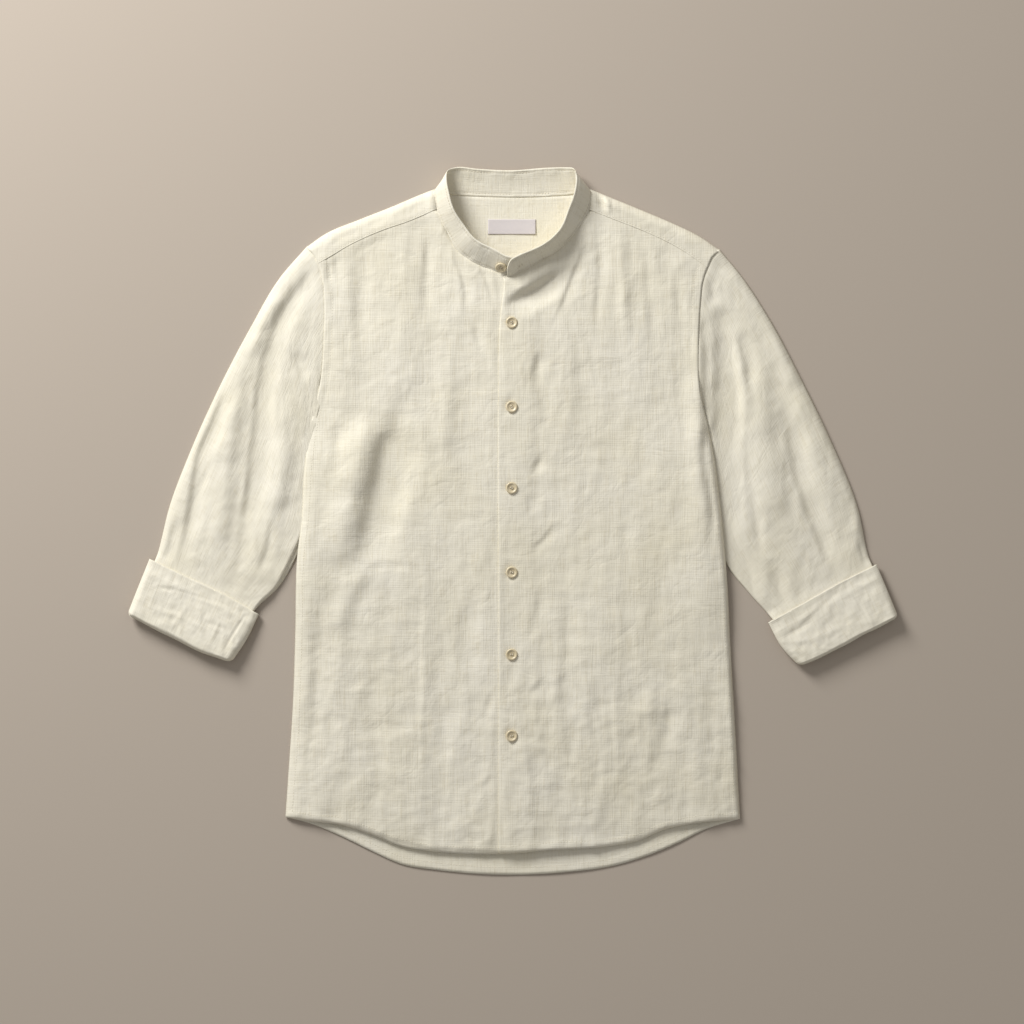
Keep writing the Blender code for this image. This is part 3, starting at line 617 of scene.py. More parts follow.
# Core-spun polyester thread, dyed to match: a little smoother and brighter than the cloth.
def sewingThread():
    material, tree = startMaterial("sewingThread")
    place = addNode(tree, "TexCoord").outputs["Object"]
    twist = stripes(tree, place, "DIAGONAL", 0.5 * mm)
    colour = blend(tree, twist, "#e4dcc8", "#f0e9d8")
    return finishMaterial(material, {"Roughness": 0.6, "IOR": 1.55, "Specular IOR Level": 0.4}, colour)


# Woven polyester label tape in satin weave: smoother and cooler than the linen, with fine ribs.
def labelTape():
    material, tree = startMaterial("labelTape")
    place = addNode(tree, "TexCoord").outputs["Object"]
    # real ribs are 0.3 mm apart: drawn four times as coarse
    ribs = stripes(tree, place, "Y", 1.2 * mm, {"Distortion": 0.6, "Detail": 1.0})
    bump = addNode(tree, "Bump", {"Strength": 0.5, "Distance": 0.05 * mm}, {"Height": ribs})
    colour = blend(tree, ribs, "#d0c9ca", "#d9d2d2")
    return finishMaterial(material, {
        "Roughness": 0.55, "IOR": 1.55, "Specular IOR Level": 0.4, "Sheen Weight": 0.1,
    }, colour, bump)


# Cast polyester with a horn look, turned and tumbled: cloudy beige under a soft polish.
def hornButton():
    material, tree = startMaterial("hornButton")
    place = addNode(tree, "TexCoord").outputs["Object"]
    streaks = addNode(tree, "TexNoise", {
        "Scale": 160.0, "Detail": 4.0, "Roughness": 0.6, "Distortion": 1.2,
    }, {"Vector": place})
    share = addNode(tree, "MapRange", {"From Min": 0.35, "From Max": 0.65}, {"Value": streaks})
    colour = blend(tree, share, "#cfc09d", "#e8dabc")
    return finishMaterial(material, {
        "Roughness": 0.32, "IOR": 1.55, "Coat Weight": 0.25, "Coat Roughness": 0.2,
    }, colour)


# Painted shade: the horn colour darkened inside the button's holes, where little light comes.
def makePaintedHoleShade():
    material, tree = startMaterial("paintedButtonHoleShade")
    grains = addNode(tree, "TexNoise", {"Scale": 900.0})
    colour = blend(tree, grains, "#8a7855", "#a08c66")
    return finishMaterial(material, {"Roughness": 0.7, "IOR": 1.55}, colour)


linen = washedLinen()
thread = sewingThread()
tape = labelTape()
horn = hornButton()
paintedHoleShade = makePaintedHoleShade()
print("materials made")


def addToScene(name, data):
    thing = bpy.data.objects.new(name, data)
    bpy.context.scene.collection.objects.link(thing)
    return thing


def addPiece(name, vertices, faces, material, replaces=None):
    mesh = bpy.data.meshes.new(name)
    mesh.from_pydata((np.asarray(vertices, float).reshape(-1, 3) * mm).tolist(), [], faces)
    mesh.shade_smooth()
    mesh.materials.append(material)
    piece = addToScene(name, mesh)
    if replaces:
        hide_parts(replaces)
    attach(piece, "root")
    return piece


def addCloth(name, points, grain, wall=0.0, closedAcross=False, closedDown=False, material=linen,
             replaces=None, even=True):
    # a grid of places as cloth, with its lengthwise and crosswise grain as a UV map
    rows, columns = points.shape[:2]
    index = np.arange(rows * columns).reshape(rows, columns)
    if closedAcross:
        index = np.column_stack([index, index[:, 0]])
    if closedDown:
        index = np.vstack([index, index[:1]])
    faces = np.stack([index[:-1, :-1], index[:-1, 1:], index[1:, 1:], index[1:, :-1]], axis=-1)
    piece = addPiece(name, points, faces.reshape(-1, 4).tolist(), material, replaces)
    corners = np.stack([grain[:-1, :-1], grain[:-1, 1:], grain[1:, 1:], grain[1:, :-1]], axis=2)
    layer = piece.data.uv_layers.new(name="grain")
    layer.data.foreach_set("uv", (corners.reshape(-1, 2) * mm).ravel())
    if wall:
        solid = piece.modifiers.new("thickness", "SOLIDIFY")
        solid.thickness = wall * mm
        solid.offset = 0
        solid.use_even_offset = even
    return piece


stitchLook = {"length": 2.6, "gap": 0.7, "width": 0.5, "height": 0.2}


def stitchLine(line, normals, lift):
    # a row of short stitches along a line on the cloth
    travelled = distanceAlong(line)
    pitch = stitchLook["length"] + stitchLook["gap"]
    first = np.arange(pitch / 2, travelled[-1] - stitchLook["length"], pitch)
    last = first + stitchLook["length"]
    start, end = placesAt(line, travelled, first), placesAt(line, travelled, last)
    up = unit(placesAt(normals, travelled, (first + last) / 2))
    across = np.cross(up, unit(end - start)) * stitchLook["width"] / 2
    base, high = up * lift, up * (lift + stitchLook["height"])
    near, far = start * 0.75 + end * 0.25, start * 0.25 + end * 0.75
    return np.stack([
        start + base, near + across + base, near - across + base, near + high,
        far + across + base, far - across + base, far + high, end + base,
    ], axis=1)


stitchFaces = np.array([
    (0, 3, 1), (0, 2, 3), (0, 1, 2), (1, 3, 6), (1, 6, 4), (2, 5, 6), (2, 6, 3), (1, 4, 5), (1, 5, 2),
    (7, 4, 6), (7, 6, 5), (7, 5, 4),
])


def addStitches(name, rows):
    # all stitch rows of one piece as one mesh
    stitches = np.concatenate(rows)
    faces = (np.arange(len(stitches))[:, None, None] * 8 + stitchFaces[None]).reshape(-1, 3)
    return addPiece(name, stitches, faces.tolist(), thread)


def surfaceNormals(points):
    normals = np.cross(np.gradient(points, axis=1), np.gradient(points, axis=0))
    normals *= np.where(normals[..., 2:] < 0, -1, 1)
    return unit(normals)


def lineInside(points, edge, distance, start=0.0, end=1.0):
    # the line on a cloth at this distance from one of its edges, with its normals
    normals = surfaceNormals(points)
    away = fromEdges(points)[edge]
    if edge in ("left", "right"):
        away, points, normals = away.T, points.swapaxes(0, 1), normals.swapaxes(0, 1)
    if edge in ("right", "bottom"):
        away, points, normals = away[::-1], points[::-1], normals[::-1]
    first, last = int(start * (away.shape[1] - 1)), int(end * (away.shape[1] - 1)) + 1
    return [np.vstack([placesAt(values[:, i], away[:, i], [distance]) for i in range(first, last)])
            for values in (points, normals)]


def seamRelief(distance, stitchAt, along, seed, raised=0.5):
    # turned-under cloth as far as the stitching, the stitches' groove, and the puckers it draws up
    turned = ramp(distance, stitchAt + 0.6, -1.6)
    groove = hump(distance, stitchAt, 1.1)
    near = hump(distance, stitchAt, 5.0)
    pucker = softNoise(along, distance, 7.5, 12, seed)
    return raised * turned - 0.35 * groove + 0.28 * near * pucker


def makeBack():
    across = evenly(130)
    down = evenly(190)
    edges = [[(0.2, armholeLower[side]), (1, sideSeam[side])] for side in ("right", "left")]
    top = [armholeLower["right"][0], armholeLower["left"][0]]
    plan = panelPlan(top, backHem, *edges, across, down)
    x, y = plan[..., 0], plan[..., 1]
    away = fromEdges(plan)
    height = body["backHeight"] + tuckLift(x, y) + np.abs(creaseHeight("back", x, y))
    hem = seamRelief(away["bottom"], body["hemDepth"], x, 300, 0.45)
    height += np.maximum(hem, -0.1)
    height += 0.5 * np.abs(softNoise(x, y, 34, 30, 301)) * ramp(away["bottom"], 60, -50)
    sides = np.minimum(away["left"], away["right"])
    height += 0.65 * ramp(sides, 9, -8)
    points = np.dstack([plan, height])
    back = addCloth("linen_back", points, plan, body["wall"], replaces="back")
    rows = [stitchLine(*lineInside(points, "bottom", body["hemDepth"], 0.01, 0.99), body["wall"] / 2)]
    stitches = addStitches("stitches_back", rows)
    return back


def makeFront(side):
    columns = int(265 / body["gridPitch"])
    lines = int(640 / body["gridPitch"])
    across = np.concatenate([[0, 0.0022, 0.0045], np.linspace(0.0085, 1, columns - 2)])
    down = evenly(lines)
    neck = [*neckLine[side][:0:-1], yokeFrontSeam[side][0]]
    top = [(0.5, neck), (1, yokeFrontSeam[side])]
    outer = [(0.07, armholeUpper[side]), (0.25, armholeLower[side]), (1, sideSeam[side])]
    plan = panelPlan(top, frontHem[side][::-1], lapLine[side], outer, across, down)
    plan = extended(plan, "top", body["underYoke"], square=True)
    x, y = plan[..., 0], plan[..., 1]
    if side == "left":
        height = leftFrontHeight(x, y)
    else:
        height = frontHeight("right", x, y) - buttonDimples(x, y)
    away = fromEdges(plan)
    height = height - 0.8 * ramp(away["top"], 5.6, -4.0)
    hem = seamRelief(away["bottom"], body["hemDepth"], x, 310, 0.4)
    armhole = seamRelief(away["right"], body["fellDepth"], y, 311, 0.2)
    height += hem * ramp(away["bottom"], 20, -4)
    height += armhole * ramp(away["right"], 24, -8) * ramp(y, 118, 14)
    fell = 0.5 * seamRelief(away["right"], body["sideFell"], y, 312, 0.2)
    height += fell * ramp(away["right"], 20, -6) * ramp(y, 112, -14)
    if side == "left":
        edge = away["left"]
        height = height + 0.2 * ramp(edge, 33.5, -2.5) - 0.35 * (1 - roundEdge(edge, 1.3))
    points = np.dstack([plan, height])
    name = "linen_front_" + side
    front = addCloth(name, points, plan, body["wall"], replaces="front_" + side)
    lift = body["wall"] / 2
    rows = [stitchLine(*lineInside(points, "bottom", body["hemDepth"], 0.0, 0.99), lift)]
    rows.append(stitchLine(*lineInside(points, "right", body["fellDepth"], 0.01, 0.24), lift))
    rows.append(stitchLine(*lineInside(points, "right", body["sideFell"], 0.27, 0.99), lift))
    stitches = addStitches("stitches_front_" + side, rows)
    return front


makeBack()
makeFront("right")
makeFront("left")
print("back and fronts made")


yokeFold = {
    "lowerHeight": 0.9,  # of the cloth inside the neck
    "height": 1.5,  # of the fold at its outer edge
    "radius": 10.0,
    "overFront": 0.5,  # how far the fold runs on past its seam, and under the band
    "underBand": 7.5,
    "stitchInset": 2.2,
}


def makeYoke():
    # the lower cloth from side to side, seen inside the neck
    top = np.vstack([
        smoothLine(shoulder["right"], evenly(60)),
        smoothLine(backNeck, evenly(80))[1:],
        smoothLine(shoulder["left"], evenly(60))[::-1][1:],
    ])
    along = distanceAlong(top)
    along = along / along[-1]
    seam = [armholeUpper["right"][-1], armholeUpper["left"][-1]]
    ends = [[(0.42, armholeCap[side]), (1, armholeUpper[side])] for side in ("right", "left")]
    plan = panelPlan(top, seam, *ends, along, evenly(44))
    plan[0, :, 1] += 3 * ramp(np.abs(plan[0, :, 0]), 84, -8)
    x, y = plan[..., 0], plan[..., 1]
    away = fromEdges(plan)
    height = yokeFold["lowerHeight"] + 0.25 * crinkles(x, y, 330) + 0.9 * ramp(away["top"], 10, 30) * (
        0.5 + 0.5 * softNoise(x, y, 50, 24, 331))
    height = np.maximum(height, body["wall"] / 2)
    shoulderPart = ramp(np.abs(x), 90, 6)
    height = height * (1 - shoulderPart) + shoulderPart * (0.4 + 1.1 * (1 - roundEdge(away["top"], 3)))
    points = np.dstack([plan, height])
    yoke = addCloth("linen_yoke", points, plan, body["wall"], replaces="yoke")
    wings, rows = [], []
    for side in ("right", "left"):
        seamEnd = [shoulder[side][-1], yokeFrontSeam[side][0]]
        wing = panelPlan(shoulder[side], yokeFrontSeam[side][::-1], armholeCap[side], seamEnd,
                         evenly(68), evenly(16))
        wing = extended(extended(wing, "bottom", yokeFold["overFront"]), "right", yokeFold["underBand"])
        x, y = wing[..., 0], wing[..., 1]
        gap = fromEdges(wing)
        loose = frontHeight(side, x, y) + 0.3
        relief = 0.6 * seamRelief(gap["bottom"], yokeFold["stitchInset"], x, 333, 0.12)
        loose = loose + relief * ramp(gap["bottom"], 12, -5)
        lowest = yokeFold["height"]
        height = lowest + (loose - lowest) * roundEdge(gap["top"], yokeFold["radius"])
        wingPoints = np.dstack([wing, height])
        name = "linen_yoke_fold_" + side
        wings.append(addCloth(name, wingPoints, wing, body["wall"]))
        line = lineInside(wingPoints, "bottom", yokeFold["stitchInset"], 0.01, 0.99)
        rows.append(stitchLine(*line, body["wall"] / 2))
    stitches = addStitches("stitches_yoke", rows)
    return stitches


makeYoke()
print("yoke made")

sleeve = {
    "wall": 0.6,
    "restHeight": 6.4,
    "span": 4.8,
    "edgeRadius": 9.0,
    "tuck": {"right": 4.0, "left": 22.0},  # kept low under the body's side
    "underHeight": 0.4,
    "edgeHeight": 1.9,
    "inRoll": (4.4, 7.4),  # heights of the lower and upper cloth inside the roll
    "thickEdge": 3.2,  # the most the edge counts as thick
    "underSeam": 2.5,  # how far it runs on under the front
    "seamReach": 12,  # how far the seam holds it level with the front
    "moreReach": 8,  # how much further it does so higher up, and from where
    "reachFrom": {"right": 125, "left": 165},
    "hollow": 25,  # how far out the slope into the hollow beside the body goes
    # how fast it rises: from its outer edge, from its inner edge, from inner edge and armpit together
    "outerRise": {"right": 0.6, "left": 1.0},
    "innerRise": {"right": 2.8, "left": 1.0},
    "armpitRise": {"right": 1.0, "left": 0.55},
}


def ringTube(plan, low, high, edgeHeight):
    # rings round a flattened tube: over the top from edge to edge, and back underneath
    top = np.dstack([plan, high])
    under = np.dstack([plan, low])[:, -2:0:-1]
    top[:, 0, 2] = edgeHeight[:, 0]
    top[:, -1, 2] = edgeHeight[:, -1]
    return np.concatenate([top, under], axis=1)


def closedLength(ring, closing):
    # distance round a ring, with the step that closes it
    around = distanceAlong(ring)
    return np.append(around, around[-1] + closing)


def makeSleeve(side):
    across = spaced((0, 0.05, 8), (0.05, 0.95, 64), (0.95, 1, 8))
    down = evenly(168)
    lower = [*armholeLower[side][:-1], sleeveInner[side][0]]
    armhole = [(0.14, armholeCap[side]), (0.28, armholeUpper[side]), (1, lower)]
    plan = panelPlan(armhole, sleeveEnd[side], sleeveOuter[side], sleeveInner[side], across, down)
    plan = extended(plan, "top", sleeve["underSeam"])
    inwards = -1 if side == "left" else 1
    x, y = plan[..., 0], plan[..., 1]
    away = fromEdges(plan)
    mouth = smoothLine(rollMouth[side], evenly(30))
    run = unit(mouth[-1] - mouth[0])
    outwards = np.array([-run[1], run[0]]) * inwards
    before = (x - mouth[0, 0]) * outwards[0] + (y - mouth[0, 1]) * outwards[1]
    inside = ramp(before, 12, -14)
    where = "sleeveLeft" if side == "left" else "sleeveRight"
    folds = 2.4 * creaseHeight(where, x, y) + crinkles(x, y, 60 if side == "left" else 80) * 1.7
    folds = folds + 0.8 * softNoise(x, y, 50, 110, 91) + 0.35 * softNoise(x, y, 15, 70, 92)
    loose = softLimit(sleeve["restHeight"] + folds, sleeve["restHeight"], sleeve["span"], sleeve["span"])
    tuck = sleeve["tuck"][side] * ramp(y, -95, 60)
    inner = (away["right"] - tuck) * sleeve["innerRise"][side]
    inner = np.maximum(inner, 0) + 40 * ramp(y, 92, 34)
    edge = np.minimum(away["left"] * sleeve["outerRise"][side], inner * sleeve["armpitRise"][side])
    joined = frontHeight(side, x, y) - 0.3 - 0.9 * ramp(away["top"], 3.5, -2.0)
    reach = sleeve["seamReach"] + sleeve["moreReach"] * ramp(y, sleeve["reachFrom"][side], 45)
    seamward = ramp(away["top"], reach + 2.5, -reach) * ramp(y, 98, 14)
    if side == "left":  # it falls slowly from the armhole into the long hollow beside the body
        offSeam = np.abs(x) - lineReach(armholeLower, x, y)
        slow = ramp(offSeam, sleeve["hollow"], -23) * ramp(y, 112, 56) * ramp(y, 230, -34)
        seamward = np.maximum(seamward, slow)
    loose = loose + (joined - loose) * seamward
    loose = sleeve["edgeHeight"] + (loose - sleeve["edgeHeight"]) * roundEdge(edge, sleeve["edgeRadius"])
    low = sleeve["underHeight"] + (sleeve["inRoll"][0] - sleeve["underHeight"]) * inside
    high = loose + (sleeve["inRoll"][1] - loose) * inside
    edgeHeight = (low + np.minimum(high, low + sleeve["thickEdge"])) / 2
    points = ringTube(plan, low, high, edgeHeight)
    around = closedLength(points[len(down) // 2], 2)
    length = distanceAlong(plan[:, len(across) // 2])
    grain = np.dstack(np.broadcast_arrays(around[None], length[:, None]))
    piece = addCloth("linen_sleeve_" + side, points, grain, sleeve["wall"], closedAcross=True,
                     replaces="sleeve_" + side, even=False)
    return piece


makeSleeve("right")
makeSleeve("left")
print("sleeves made")

roll = {
    "wall": 2.6,
    "profile": [9.2, 9.8, 11.6, 13.6, 15.0, 15.6],  # heights from the mouth to the fold
    "edgeHeight": 6.5,
    "foldLift": 2.5,  # how much higher the fold's edge is held than the mouth's
    "sideRadius": 8.0,
    "foldRadius": 4.5,
    "cornerRadius": 6.0,
}


def roundedCorners(plan, away, radius):
    # the two corners at the bottom drawn in to a quarter circle
    plan = plan.copy()
    down, across = unit(np.gradient(plan, axis=0)), unit(np.gradient(plan, axis=1))
    v = np.clip(1 - away["bottom"] / radius, 0, 1)
    for side, sign in (("left", 1), ("right", -1)):
        u = np.clip(1 - away[side] / radius, 0, 1)
        plan += across * (sign * radius * u * (1 - np.sqrt(1 - v**2 / 2)))[..., None]
        plan -= down * (radius * v * (1 - np.sqrt(1 - u**2 / 2)))[..., None]
    return plan


def makeCuff(side):
    # the turned-back sleeve end: a flat ring of folded cloth, rounded at its fold
    across = spaced((0, 0.1, 14), (0.1, 0.9, 90), (0.9, 1, 14))
    down = spaced((0, 0.88, 44), (0.88, 1, 14))
    plan = panelPlan(rollMouth[side], rollFold[side], rollOuter[side], rollInner[side], across, down)
    away = fromEdges(plan)
    share = away["top"] / (away["top"] + away["bottom"])
    plan = roundedCorners(plan, away, roll["cornerRadius"])
    x, y = plan[..., 0], plan[..., 1]
    wave = 1.3 * softNoise(x, y, 16, 16, 205 if side == "left" else 206)
    y = y + wave * ramp(away["bottom"], 8, -8)
    plan = np.dstack([x, y])
    edgeLevel = roll["edgeHeight"] + roll["foldLift"] * share
    profile = smoothLine(list(zip([0, 16, 34, 66, 85, 100], roll["profile"])), evenly(60))
    crown = np.interp(share * 100, profile[:, 0], profile[:, 1])
    seed = 120 if side == "left" else 140
    puff = 0.7 * softNoise(x, y, 34, 24, seed) + 1.3 * crinkles(x, y, seed + 10)
    puff += 1.0 * crinkles(1.9 * x, 1.9 * y, seed + 20)
    puff += 0.9 * hump(away["top"], 14, 4.5)
    puff += creaseHeight("cuffLeft" if side == "left" else "cuffRight", x, y)
    crown = crown + puff * smoothStep(share / 0.1 + 0.3)
    sides = np.minimum(away["left"], away["right"])
    rise = roundEdge(sides, roll["sideRadius"])
    high = edgeLevel + (crown - edgeLevel) * rise
    low = edgeLevel - (edgeLevel - roll["wall"] / 2) * roundEdge(sides, 5)
    high = high - (high - edgeLevel) * (1 - roundEdge(away["bottom"], roll["foldRadius"]))
    low = low + (edgeLevel - 1.0 - low) * (1 - roundEdge(away["bottom"], 16))
    rings = ringTube(plan, low, high, (high + low) / 2)
    # the folded edge closes over the several layers inside, the mouth shows their edge
    inner = rings.copy()
    towards = np.where(np.arange(rings.shape[1]) < len(across), -1.0, 1.0)
    inner[..., 2] += towards * roll["wall"] * np.minimum(1, rings[..., 2] / 6)
    loop = np.concatenate([rings, inner[::-2]], axis=0)
    around = closedLength(rings[20], 1.5)
    lengthwise = np.concatenate([distanceAlong(plan[:, 40]), 66 + np.arange(len(inner[::2])) * 3.3, [200]])
    grain = np.dstack(np.broadcast_arrays(around[None], lengthwise[:, None]))
    piece = addCloth("linen_cuff_" + side, loop, grain, closedAcross=True, closedDown=True,
                     replaces="cuff_" + side)
    return piece


makeCuff("right")
makeCuff("left")
print("turned-back sleeve ends made")

# the collar band, from its lower end round the back to the end that laps over:
# seam end and free end of each section in plan, and their heights
bandSections = [
    # seam x, seam y, free x, free y, seam z, free z
    (3, 268.5, 4, 287.5, 4.9, 26),
    (-8, 268.5, -5, 288.5, 4.9, 26),
    (-30, 274, -23, 298, 4.9, 24),
    (-45, 281, -33, 302.5, 4.9, 24),
    (-59, 291, -42, 308.5, 4.9, 24),
    (-73.5, 312, -53.5, 323, 4.9, 23.5),
    (-85, 336, -64.5, 340, 4.9, 26),
    (-88.5, 350, -70, 359, 4.9, 26),
    (-88.5, 358, -72.5, 374, 4.0, 22),
    (-83, 359.5, -71, 384, 2.0, 14),
    (-70, 358, -62, 387.5, 1.1, 9),
    (-40, 356.2, -38, 386, 1.0, 6.5),
    (0, 355.2, 0, 384.5, 1.0, 6.5),
    (40, 356.2, 38, 387.3, 1.0, 6.5),
    (64, 358, 56, 387.5, 1.1, 8),
    (80, 359.5, 66, 386, 2.0, 13),
    (87.5, 358, 68.5, 377, 4.0, 22),
    (88, 349, 67.5, 362, 4.9, 26),
    (79.5, 328, 60.5, 341, 4.9, 24),
    (63, 307, 50.5, 317.5, 4.9, 28),
    (44, 290, 34.5, 302.5, 5.0, 29),
    (27, 280, 19.5, 295, 5.9, 29),
    (10.5, 271, 5, 289, 6.6, 29),
    (-1, 266, -3, 284.5, 6.6, 28),
    (-7, 264.3, -6.8, 280, 6.6, 23),
]
band = {"length": 430.0, "wall": 1.7, "cornerRadius": 9.0, "stitchInset": 3.4, "bulge": 1.1,
        "sunk": 2.0, "holeAt": 0.948, "holeLength": 11.0, "holeUp": 15.5}


def bandLines(along):
    # the band's seam line and free edge at these shares of its length
    table = np.array(bandSections, float)
    lower, upper = table[:, (0, 1, 4)].copy(), table[:, (2, 3, 5)]
    lower[:, 2] -= band["sunk"] * ramp(lower[:, 2], 1.0, 1.8)
    lengths = distanceAlong(lower)
    sections = np.interp(np.asarray(along) * lengths[-1], lengths, np.arange(len(table)))
    ends = []
    for line in (lower, upper):
        dense = smoothLine(line, evenly(500))
        travelled = distanceAlong(line)
        wanted = np.interp(sections, np.arange(len(table)), travelled / travelled[-1])
        ends.append(placesAt(dense, evenly(500), wanted))
    return ends


def bandPlace(along, up, outwards=0.0):
    # a place on the band: along it, millimetres up from its seam, millimetres out from its middle
    lower, upper = bandLines(along)
    rise = upper - lower
    height = np.linalg.norm(rise, axis=1)
    rise = rise / height[:, None]
    run = np.gradient(lower, axis=0) if len(lower) > 2 else lower[-1:] - lower[:1]
    out = unit(np.cross(rise, run))
    share = np.clip(up / height[:, None], 0, 1)
    bulge = band["bulge"] * np.sin(np.pi * share)
    place = lower[:, None] + rise[:, None] * up[..., None] + out[:, None] * (outwards + bulge)[..., None]
    return place, out


def makeCollarBand():
    ends = 1 - np.cos(np.linspace(0, np.pi / 2, 16))
    inset = ends * band["cornerRadius"] * 1.1 / band["length"]
    along = np.concatenate([inset[:-1], np.linspace(inset[-1], 1 - inset[-1], 250), 1 - inset[:-1][::-1]])
    lower, upper = bandLines(along)
    travelled = distanceAlong(lower)
    fromEnd = np.minimum(travelled, travelled[-1] - travelled)
    full = np.linalg.norm(upper - lower, axis=1)
    radius = band["cornerRadius"]
    cut = radius - np.sqrt(radius**2 - (radius - np.minimum(fromEnd, radius)) ** 2)
    tall = full - cut
    half = band["wall"] / 2
    thin = np.sqrt(np.clip(1 - (1 - np.clip(fromEnd / half, 0, 1)) ** 2, 0.02, 1))
    near = np.array([0.0, 0.8, 1.6, 2.6, 3.4, 4.2, 5.4, 6.6, 7.2, 7.8, 8.4, 9.2])
    middle = evenly(16)
    face = [np.concatenate([near, 10 + (h - 15) * middle, h - near[:6][::-1]]) for h in tall]
    face = np.array(face)
    fromRim = np.minimum(face, tall[:, None] - face)
    # the lower row sits higher where the fronts cover the band's foot
    lowInset = band["stitchInset"] + 4.4 * ramp(lower[:, 2], 0.6, 2.0)
    offHigh = np.abs(tall[:, None] - face - band["stitchInset"])
    offRow = np.minimum(np.abs(face - lowInset[:, None]), offHigh)
    groove = 0.35 * hump(offRow, 0, 0.8)
    pucker = 0.45 * softNoise(travelled[:, None] + 0 * face, face, 6, 9, 401)
    pucker = pucker * hump(offRow, 0, 3.5)
    swell = half * thin[:, None] * np.sqrt(np.clip(1 - (1 - np.clip(fromRim / half, 0, 1)) ** 2, 0, 1))
    outer = swell - groove + pucker * ramp(fromRim, 0, 3)
    outerFace, out = bandPlace(along, face, np.maximum(outer, 0.05))
    innerFace, out = bandPlace(along, face, -np.maximum(outer, 0.05))
    rings = np.concatenate([outerFace, innerFace[:, -2:0:-1]], axis=1)
    around = closedLength(rings[len(rings) // 2], 1)
    # the cloth runs along the band
    grain = np.dstack(np.broadcast_arrays(travelled[:, None], around[None]))
    piece = addCloth("linen_collar_band", rings, grain, closedAcross=True, replaces="collar_band")
    rows = []
    for at in (lowInset[:, None], (tall - band["stitchInset"])[:, None]):
        for sign in (1, -1):
            line, out = bandPlace(along, at, np.full_like(at, sign * (half - 0.25)))
            rows.append(stitchLine(line[12:-12, 0], out[12:-12] * sign, 0.05))
    slit = np.linspace(band["holeAt"], band["holeAt"] + band["holeLength"] / band["length"], 12)
    for up in (-0.8, 0.8):  # the buttonhole of the end on top
        at, outwards = np.full((12, 1), band["holeUp"] + up), np.full((12, 1), half + 0.15)
        line, out = bandPlace(slit, at, outwards)
        rows.append(stitchLine(line[:, 0], out, 0.05))
    stitches = addStitches("stitches_collar_band", rows)
    return piece


makeCollarBand()
print("collar band made")

label = {"left": -27.5, "right": 25.0, "top": 331.0, "bottom": 314.5, "wall": 0.35, "height": 1.9}


def makeLabel():
    x, y = np.meshgrid(np.linspace(label["left"], label["right"], 50),
                       np.linspace(label["top"], label["bottom"], 18))
    # one corner and the lower edge lift a little
    lift = 0.5 * ramp(y, label["top"], -16) + 0.3 * ramp(x, 10, 16)
    height = label["height"] + lift + 0.25 * softNoise(x, y, 14, 10, 501)
    plan = np.dstack([x, y])
    piece = addCloth("label_tape", np.dstack([x, y, height]), plan, label["wall"], material=tape,
                     replaces="neck_label")
    return piece


makeLabel()

button = {
    # turned shape, from the middle of the dished face over the rim to the middle of the back
    "profile": [(0, 1.5), (2.0, 1.5), (3.4, 1.55), (4.1, 1.9), (4.6, 2.35), (5.2, 2.5), (5.8, 2.4),
                (6.25, 2.0), (6.4, 1.5), (6.2, 0.9), (5.4, 0.3), (4.2, 0.0), (0, 0)],
    "steps": 48,
    "holeRadius": 0.75,
    "holeSpread": 1.45,
    "threadRadius": 0.35,
    "seat": 0.6,  # how far the back stands above the cloth's middle
    "collarAt": 0.038,  # share of the band's length
    "collarUp": 14.5,
    "collarSeat": 1.2,
}


def circle(radius, count, start=0.0):
    angles = start + 2 * np.pi * np.arange(count) / count
    return np.column_stack([radius * np.cos(angles), radius * np.sin(angles)])


def ringFaces(rings, steps):
    faces = []
    for ring in range(rings - 1):
        for i in range(steps):
            a, b = ring * steps + i, ring * steps + (i + 1) % steps
            faces.append((a, a + steps, b + steps, b))
    return faces


def makeButton(name, place, turn, replaces):
    # a turned four-hole button with thread through its holes
    def add(part, points, faces, material, replaces=None):
        placed = np.array(points) @ turn.T + place
        addPiece(name + part, placed, faces, material, replaces)

    points = [(*spot, up) for radius, up in button["profile"] for spot in circle(radius, button["steps"])]
    add("", points, ringFaces(len(button["profile"]), button["steps"]), horn, replaces)
    # dark wells of painted shade stand for the holes, with two bars of thread across them
    wells, faces = [], []
    for centre in circle(button["holeSpread"], 4, math.pi / 4):
        first = len(wells)
        wells.append((*centre, 1.53))
        wells += [(*(centre + spot), 1.58) for spot in circle(button["holeRadius"], 12)]
        faces += [(first, first + 1 + i, first + 1 + (i + 1) % 12) for i in range(12)]
    add("_holes", wells, faces, paintedHoleShade)
    bars, faces = [], []
    for offset in (-0.95, 0.95):
        faces += [[len(bars) + face[i] for i in (0, 3, 2, 1)] for face in ringFaces(9, 6)]
        for t in np.linspace(-1, 1, 9):
            crown = 1.6 + 0.55 * math.cos(t * math.pi / 2)
            bars += [(t * 1.3, offset + side, crown + up) for side, up in circle(button["threadRadius"], 6)]
    add("_thread", bars, faces, thread)


def rotation(axis, angle):
    axis = np.array(axis, float) / np.linalg.norm(axis)
    cross = np.array([[0, -axis[2], axis[1]], [axis[2], 0, -axis[0]], [-axis[1], axis[0], 0]])
    return np.eye(3) + math.sin(angle) * cross + (1 - math.cos(angle)) * cross @ cross


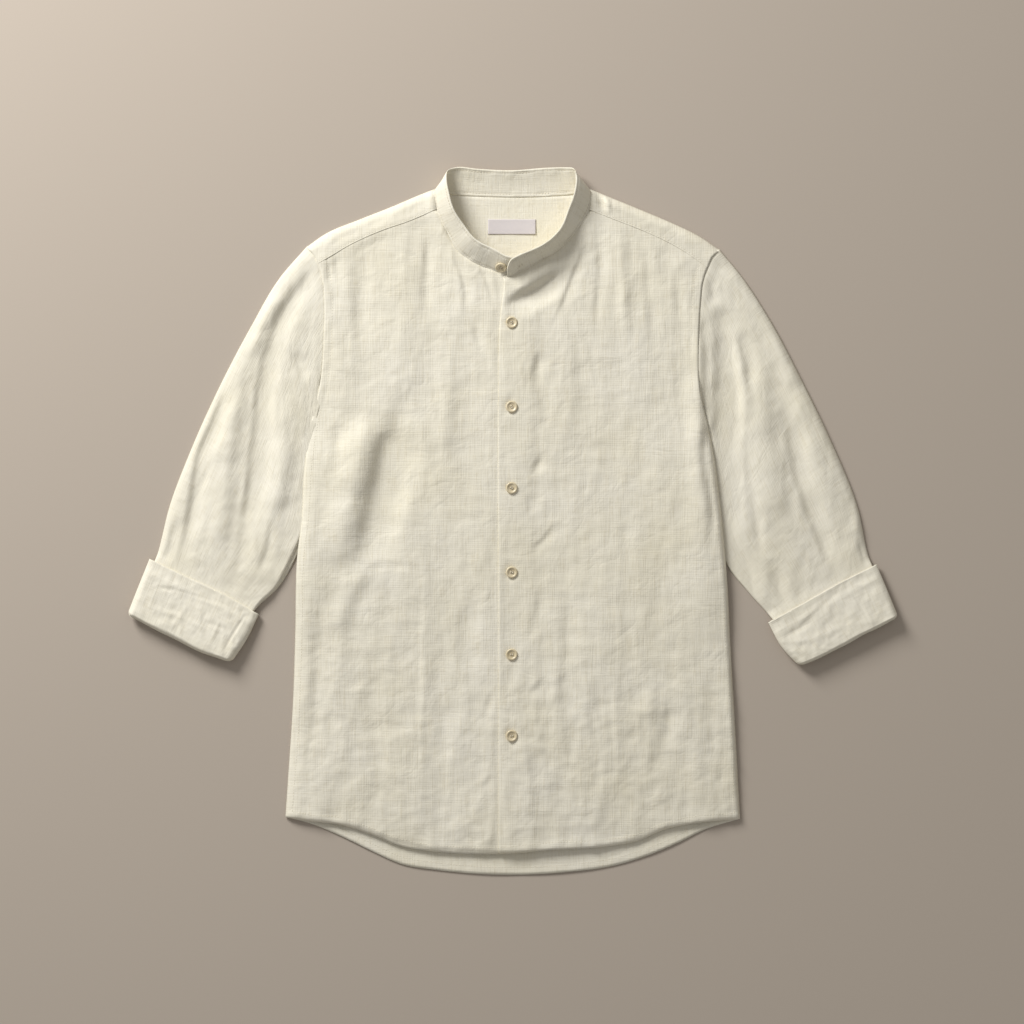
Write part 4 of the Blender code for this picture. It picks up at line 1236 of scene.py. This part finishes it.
def makeButtons():
    around = np.linspace(0, 2 * math.pi, 17)
    for number, y in enumerate(buttonPlaces, 1):
        seat = leftFrontHeight(buttonLine + 5 * np.cos(around), y + 5 * np.sin(around)).max()
        turn = rotation((0, 0, 1), 0.3 * number)
        lean = rotation((0.6, 1, 0), 0.10 + 0.03 * math.sin(number * 2.1))
        place = (buttonLine, y, seat + button["seat"])
        makeButton(f"horn_button_{number}", place, lean @ turn, f"button_{number}")
    along = button["collarAt"] + np.array([-0.007, 0, 0.007])
    places, out = bandPlace(along, np.full((3, 1), button["collarUp"]))
    normal = out[1] * np.sign(out[1][2])
    tilt = np.cross((0, 0, 1), normal)
    turn = rotation(tilt, math.acos(normal[2]))
    makeButton("horn_button_collar", places[1, 0] + normal * button["collarSeat"], turn, "button_collar")


makeButtons()
print("label and buttons made")


studio = {
    "ground": "#b9aea2",
    "sky": "#f6f3ee",
    "skyStrength": 0.375,
    "lampSize": 1.15,
    "lampPower": 85,
    "lampColour": (0.99, 0.985, 0.965),
    "lampReach": 2.45,
    "lampRise": 29,  # degrees above the ground
    "lampAim": 128,  # degrees round from +X
    "cameraHeight": 3.0,
    "seenWidth": 1.1264,
}


# plain pale matt paint: even, with the faintest roller texture
def palePaint():
    material, tree = startMaterial("palePaint")
    place = addNode(tree, "TexCoord").outputs["Object"]
    texture = addNode(tree, "TexNoise", {"Scale": 500.0, "Detail": 2.0}, {"Vector": place})
    bump = addNode(tree, "Bump", {"Strength": 0.15, "Distance": 0.1 * mm}, {"Height": texture})
    settings = {"Base Color": linear(studio["ground"]), "Roughness": 0.85, "Specular IOR Level": 0.2}
    return finishMaterial(material, settings, bump=bump)


# the ground, the light and the camera
def makeStudio():
    mesh = bpy.data.meshes.new("floor")
    mesh.from_pydata([(-4, -4, 0), (4, -4, 0), (4, 4, 0), (-4, 4, 0)], [], [(0, 1, 2, 3)])
    mesh.materials.append(palePaint())
    addToScene("floor", mesh)

    scene = bpy.context.scene
    scene.world = bpy.data.worlds.new("softRoom")
    scene.world.use_nodes = True
    sky = scene.world.node_tree.nodes["Background"].inputs
    sky["Color"].default_value = linear(studio["sky"])
    sky["Strength"].default_value = studio["skyStrength"]

    key = bpy.data.lights.new("windowLight", "AREA")
    key.shape = "DISK"
    key.size = studio["lampSize"]
    key.energy = studio["lampPower"]
    key.color = studio["lampColour"]
    lamp = addToScene("windowLight", key)
    reach = studio["lampReach"]
    rise, aim = math.radians(studio["lampRise"]), math.radians(studio["lampAim"])
    lamp.location = (reach * math.cos(aim), reach * math.sin(aim), reach * math.tan(rise))
    lamp.rotation_euler = (math.pi / 2 - rise, 0, aim + math.pi / 2)

    camera = addToScene("overhead", bpy.data.cameras.new("overhead"))
    camera.location = (-1.1 * mm, 9.35 * mm, studio["cameraHeight"])
    camera.data.sensor_width = 36
    camera.data.lens = 36 * studio["cameraHeight"] / studio["seenWidth"]
    scene.camera = camera
    scene.view_settings.view_transform = "Standard"


makeStudio()
print("studio made")
